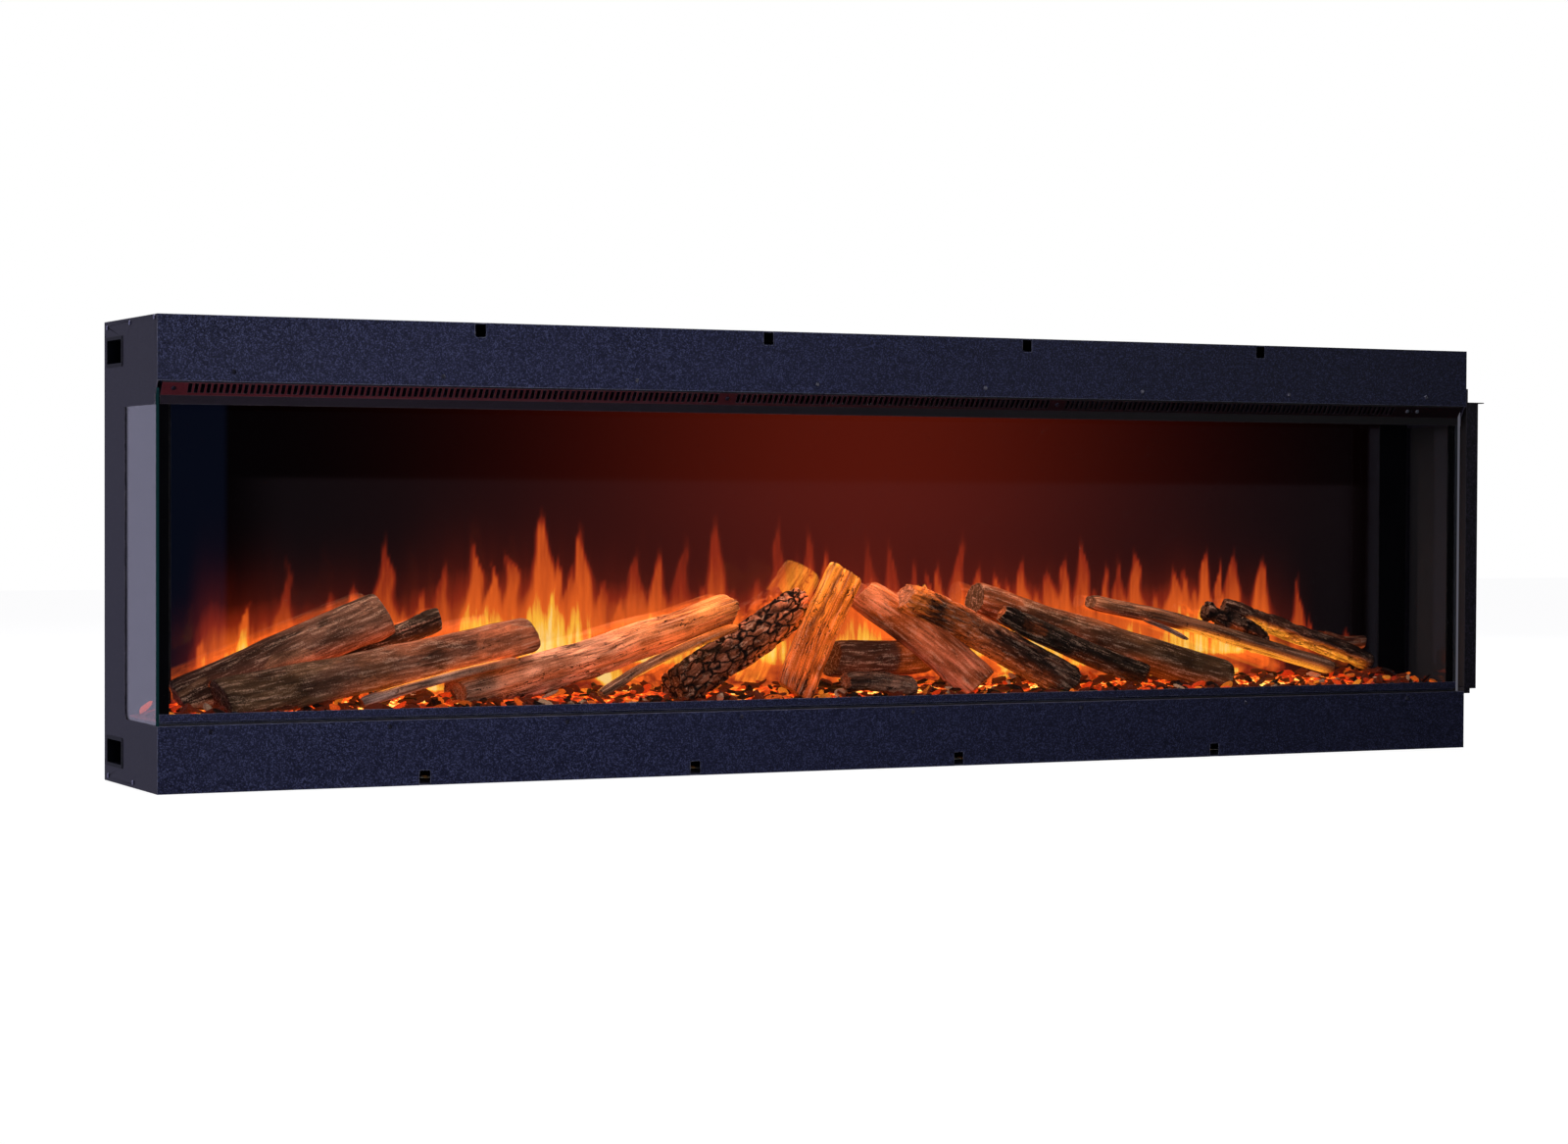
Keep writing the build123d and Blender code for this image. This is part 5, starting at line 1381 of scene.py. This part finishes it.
class FIRE_OT_logs(bpy.types.Operator):
    """Build the log set"""

    bl_idname = "fire.logs"
    bl_label = "Logs"

    def execute(self, context):
        skins = {
            BARK: timber("Cracked bark", 60.0, 240.0, 0.0022, plates=1.0, splits=0.9),
            FURROWED: timber("Furrowed bark", 36.0, 300.0, 0.002, plates=0.4, splits=1.0),
            SMOOTH: timber("Smooth bark", 30.0, 260.0, 0.0016, plates=0.0, splits=0.5),
            SPLIT: timber("Split wood", 14.0, 520.0, 0.0016, plates=0.0, splits=1.0),
            PLANK: timber("Thin split wood", 14.0, 560.0, 0.0009, plates=0.0, splits=0.7),
        }
        rings, sides = sizes().log_rings, sizes().log_sides
        for seed, (name, spec) in enumerate(LARGE_LOGS.items(), start=3):
            solid = solids_of(name)[0]
            piece = log_mesh(name + "_cast", solid, spec, seed, rings, sides, skins[spec[0]])
            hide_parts(name)
        stumps = solids_of("small_logs")
        if len(stumps) != len(SMALL_LOGS):
            raise RuntimeError("the small logs don't match their list")
        rings, sides = rings * 2 // 3, sides * 2 // 3
        for seed, (solid, (name, spec)) in enumerate(zip(stumps, SMALL_LOGS.items()), start=31):
            piece = log_mesh("small_" + name, solid, spec, seed, rings, sides, skins[spec[0]])
            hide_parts("small_logs")
        return {"FINISHED"}


class FIRE_OT_workings(bpy.types.Operator):
    """Give the heater, the flame effect and the electrics their finishes"""

    bl_idname = "fire.workings"
    bl_label = "Workings"

    def execute(self, context):
        zinc = metal("Zinc plated sheet", srgb(176, 180, 184), 0.36, spangle=0.5)
        dress(zinc, "heater_housing", "control_box", "control_box_lid", "light_driver")
        dress(zinc, "rod_bracket", "light_rail", "bed_brackets", "fan_shaft")
        foil = metal("Bright foil", srgb(214, 214, 216), 0.16)
        dress(foil, "left_flicker_rod", "right_flicker_rod", "flame_cutter")
        dress(metal("Rolled aluminium", srgb(190, 192, 196), 0.3), "impeller", "heating_element")
        dress(metal("Bearing bronze", srgb(170, 122, 66), 0.34), "fan_bearing")
        dress(metal("Motor steel", srgb(120, 122, 128), 0.4), "fan_motor", "flicker_motors")
        dress(moulded("Cut-out ceramic", srgb(196, 190, 176), 0.4), "thermal_cutout")
        dress(moulded("White plastic", srgb(206, 206, 200), 0.4), "terminal_block")
        dress(moulded("Black plastic", srgb(16, 16, 18), 0.42), "cable_gland", "mains_switch")
        dress(moulded("Rocker gloss", srgb(20, 20, 22), 0.22, coat=0.6), "mains_rocker")
        dress(circuit_board(), "control_board")
        dress(lamp_strip("Flame lamps", srgb(255, 120, 40)), "flame_light_strip")
        dress(lamp_strip("Ember lamps", srgb(255, 96, 24)), "ember_light_strip")
        return {"FINISHED"}


def stage_material(name, colour, glow):
    """Plain pale backdrop paper with a faint tooth."""
    made, tree, shader = new_material(name)
    tooth = cloud(tree, place(tree), 300.0, 2.0, 0.5)
    shade = blended(tree, between(tree, tooth, 0.3, 0.7, 0.0, 0.02), colour, (0.7, 0.7, 0.7))
    join(tree, shader.inputs["Base Color"], shade)
    shader.inputs["Emission Color"].default_value = (1.0, 1.0, 1.0, 1.0)
    shader.inputs["Emission Strength"].default_value = glow
    shader.inputs["Roughness"].default_value = 0.9
    shader.inputs["Specular IOR Level"].default_value = 0.1
    return made


def soft_light(name, place_at, aim, width, height, power, mirrored=True, colour=(1.0, 1.0, 1.0)):
    """A rectangular soft light that points at a place."""
    lamp = bpy.data.lights.new(name, "AREA")
    lamp.shape = "RECTANGLE"
    lamp.size, lamp.size_y = width, height
    lamp.energy = power
    lamp.color = colour
    holder = bpy.data.objects.new(name, lamp)
    bpy.context.scene.collection.objects.link(holder)
    holder.location = place_at
    holder.rotation_mode = "QUATERNION"
    holder.rotation_quaternion = (Vector(aim) - Vector(place_at)).to_track_quat("-Z", "Y")
    holder.visible_camera = False
    holder.visible_transmission = False
    holder.visible_glossy = mirrored
    return holder


def room_light():
    """Dark surroundings, pale behind and to the left so that the side glass shines, and a white backdrop."""
    world = bpy.data.worlds.new("Room")
    bpy.context.scene.world = world
    world.use_nodes = True
    tree = world.node_tree
    tree.nodes.clear()
    split = node(tree, "SeparateXYZ", {0: node(tree, "TexCoord").outputs["Generated"]})
    leftward = between(tree, split.outputs["X"], 0.1, -0.35)
    rearward = between(tree, split.outputs["Y"], -0.25, 0.35)
    corner, side = maths(tree, "MULTIPLY", leftward, rearward), maths(tree, "MULTIPLY", leftward, 0.35)
    share = maths(tree, "MAXIMUM", corner, side)
    room = blended(tree, share, (0.0025, 0.0025, 0.0035), (0.42, 0.41, 0.58))
    surroundings = node(tree, "Background", {0: room, 1: 1.0})
    backdrop = node(tree, "Background", {0: (1.0, 1.0, 1.0), 1: 1.0})
    seen = node(tree, "LightPath").outputs["Is Camera Ray"]
    mix = node(tree, "MixShader", {0: seen, 1: surroundings.outputs[0], 2: backdrop.outputs[0]})
    output = node(tree, "OutputWorld")
    tree.links.new(mix.outputs[0], output.inputs["Surface"])


def viewing_camera():
    """The camera, left of the fire and a little below its middle."""
    yaw, pitch, roll = math.radians(26.547), math.radians(-1.2176), math.radians(0.2284)
    forward = Vector((math.sin(yaw) * math.cos(pitch), math.cos(yaw) * math.cos(pitch), math.sin(pitch)))
    level = Vector((math.cos(yaw), -math.sin(yaw), 0.0))
    upright = level.cross(forward)
    right = math.cos(roll) * level + math.sin(roll) * upright
    up = -math.sin(roll) * level + math.cos(roll) * upright
    data = bpy.data.cameras.new("Viewer")
    data.lens = 76.884
    data.sensor_width = 36.0
    data.clip_start, data.clip_end = 0.05, 100.0
    camera = bpy.data.objects.new("Viewer", data)
    bpy.context.scene.collection.objects.link(camera)
    turn = Matrix((right, up, -forward)).transposed().to_4x4()
    camera.matrix_world = Matrix.Translation((-2.1502, -4.1483, 0.3650)) @ turn
    bpy.context.scene.camera = camera


class FIRE_OT_stage(bpy.types.Operator):
    """Set the pale floor, the lights and the camera"""

    bl_idname = "fire.stage"
    bl_label = "Stage"

    def execute(self, context):
        reach = 9.0
        corners = [(-reach, -reach, -MM), (reach, -reach, -MM), (reach, reach, -MM), (-reach, reach, -MM)]
        mesh = bpy.data.meshes.new("Floor")
        mesh.from_pydata(corners, [], [(0, 1, 2, 3)])
        mesh.materials.append(stage_material("Floor paper", (0.16, 0.16, 0.16), 0.95))
        floor = bpy.data.objects.new("Floor", mesh)
        context.scene.collection.objects.link(floor)
        floor.visible_diffuse = False
        floor.visible_glossy = False
        floor.visible_transmission = False
        soft_light("Key", (-0.75, -1.5, 0.55), (-0.2, 0.0, 0.3), 1.2, 0.8, 22.0, mirrored=False)
        soft_light("Log", (-0.05, -0.03, 0.44), (-0.05, 0.07, 0.14), 1.5, 0.03, 4.8, False, (1.0, 0.8, 0.66))
        glint = soft_light("Glint", (2.6, -3.8, 1.7), (0.2, 0.0, 0.3), 0.6, 0.5, 14.0)
        glint.visible_diffuse = False
        soft_light("Top", (0.0, 1.2, 3.4), (0.0, 0.0, 0.3), 3.0, 1.4, 60.0)
        soft_light("Rear", (2.4, 3.2, 2.2), (0.0, 0.0, 0.3), 2.0, 1.6, 60.0)
        room_light()
        viewing_camera()
        context.scene.view_settings.view_transform = "Standard"
        return {"FINISHED"}


OPERATORS = (
    FIRE_OT_case,
    FIRE_OT_outlet,
    FIRE_OT_glass,
    FIRE_OT_flames,
    FIRE_OT_embers,
    FIRE_OT_logs,
    FIRE_OT_workings,
    FIRE_OT_stage,
)


class FIRE_PT_panel(bpy.types.Panel):
    """Lists the steps that dress the electric fire"""

    bl_idname = "FIRE_PT_panel"
    bl_label = "Electric fire"
    bl_space_type = "VIEW_3D"
    bl_region_type = "UI"
    bl_category = "Electric fire"

    def draw(self, context):
        for group in (context.scene.fire_colours, context.scene.fire_sizes):
            box = self.layout.box()
            for name in group.bl_rna.properties.keys():
                if name not in ("name", "rna_type"):
                    box.prop(group, name)
        for operator in OPERATORS:
            self.layout.operator(operator.bl_idname)


CLASSES = (FireColours, FireSizes, *OPERATORS, FIRE_PT_panel)


def register():
    """Adds the settings, the steps and the panel."""
    for one in CLASSES:
        bpy.utils.register_class(one)
    bpy.types.Scene.fire_colours = PointerProperty(type=FireColours)
    bpy.types.Scene.fire_sizes = PointerProperty(type=FireSizes)


def unregister():
    """Takes them away again."""
    del bpy.types.Scene.fire_sizes
    del bpy.types.Scene.fire_colours
    for one in reversed(CLASSES):
        bpy.utils.unregister_class(one)


def main():
    """Dresses the whole object."""
    register()
    for operator in OPERATORS:
        family, name = operator.bl_idname.split(".")
        getattr(getattr(bpy.ops, family), name)()


if __name__ == "__main__":
    main()
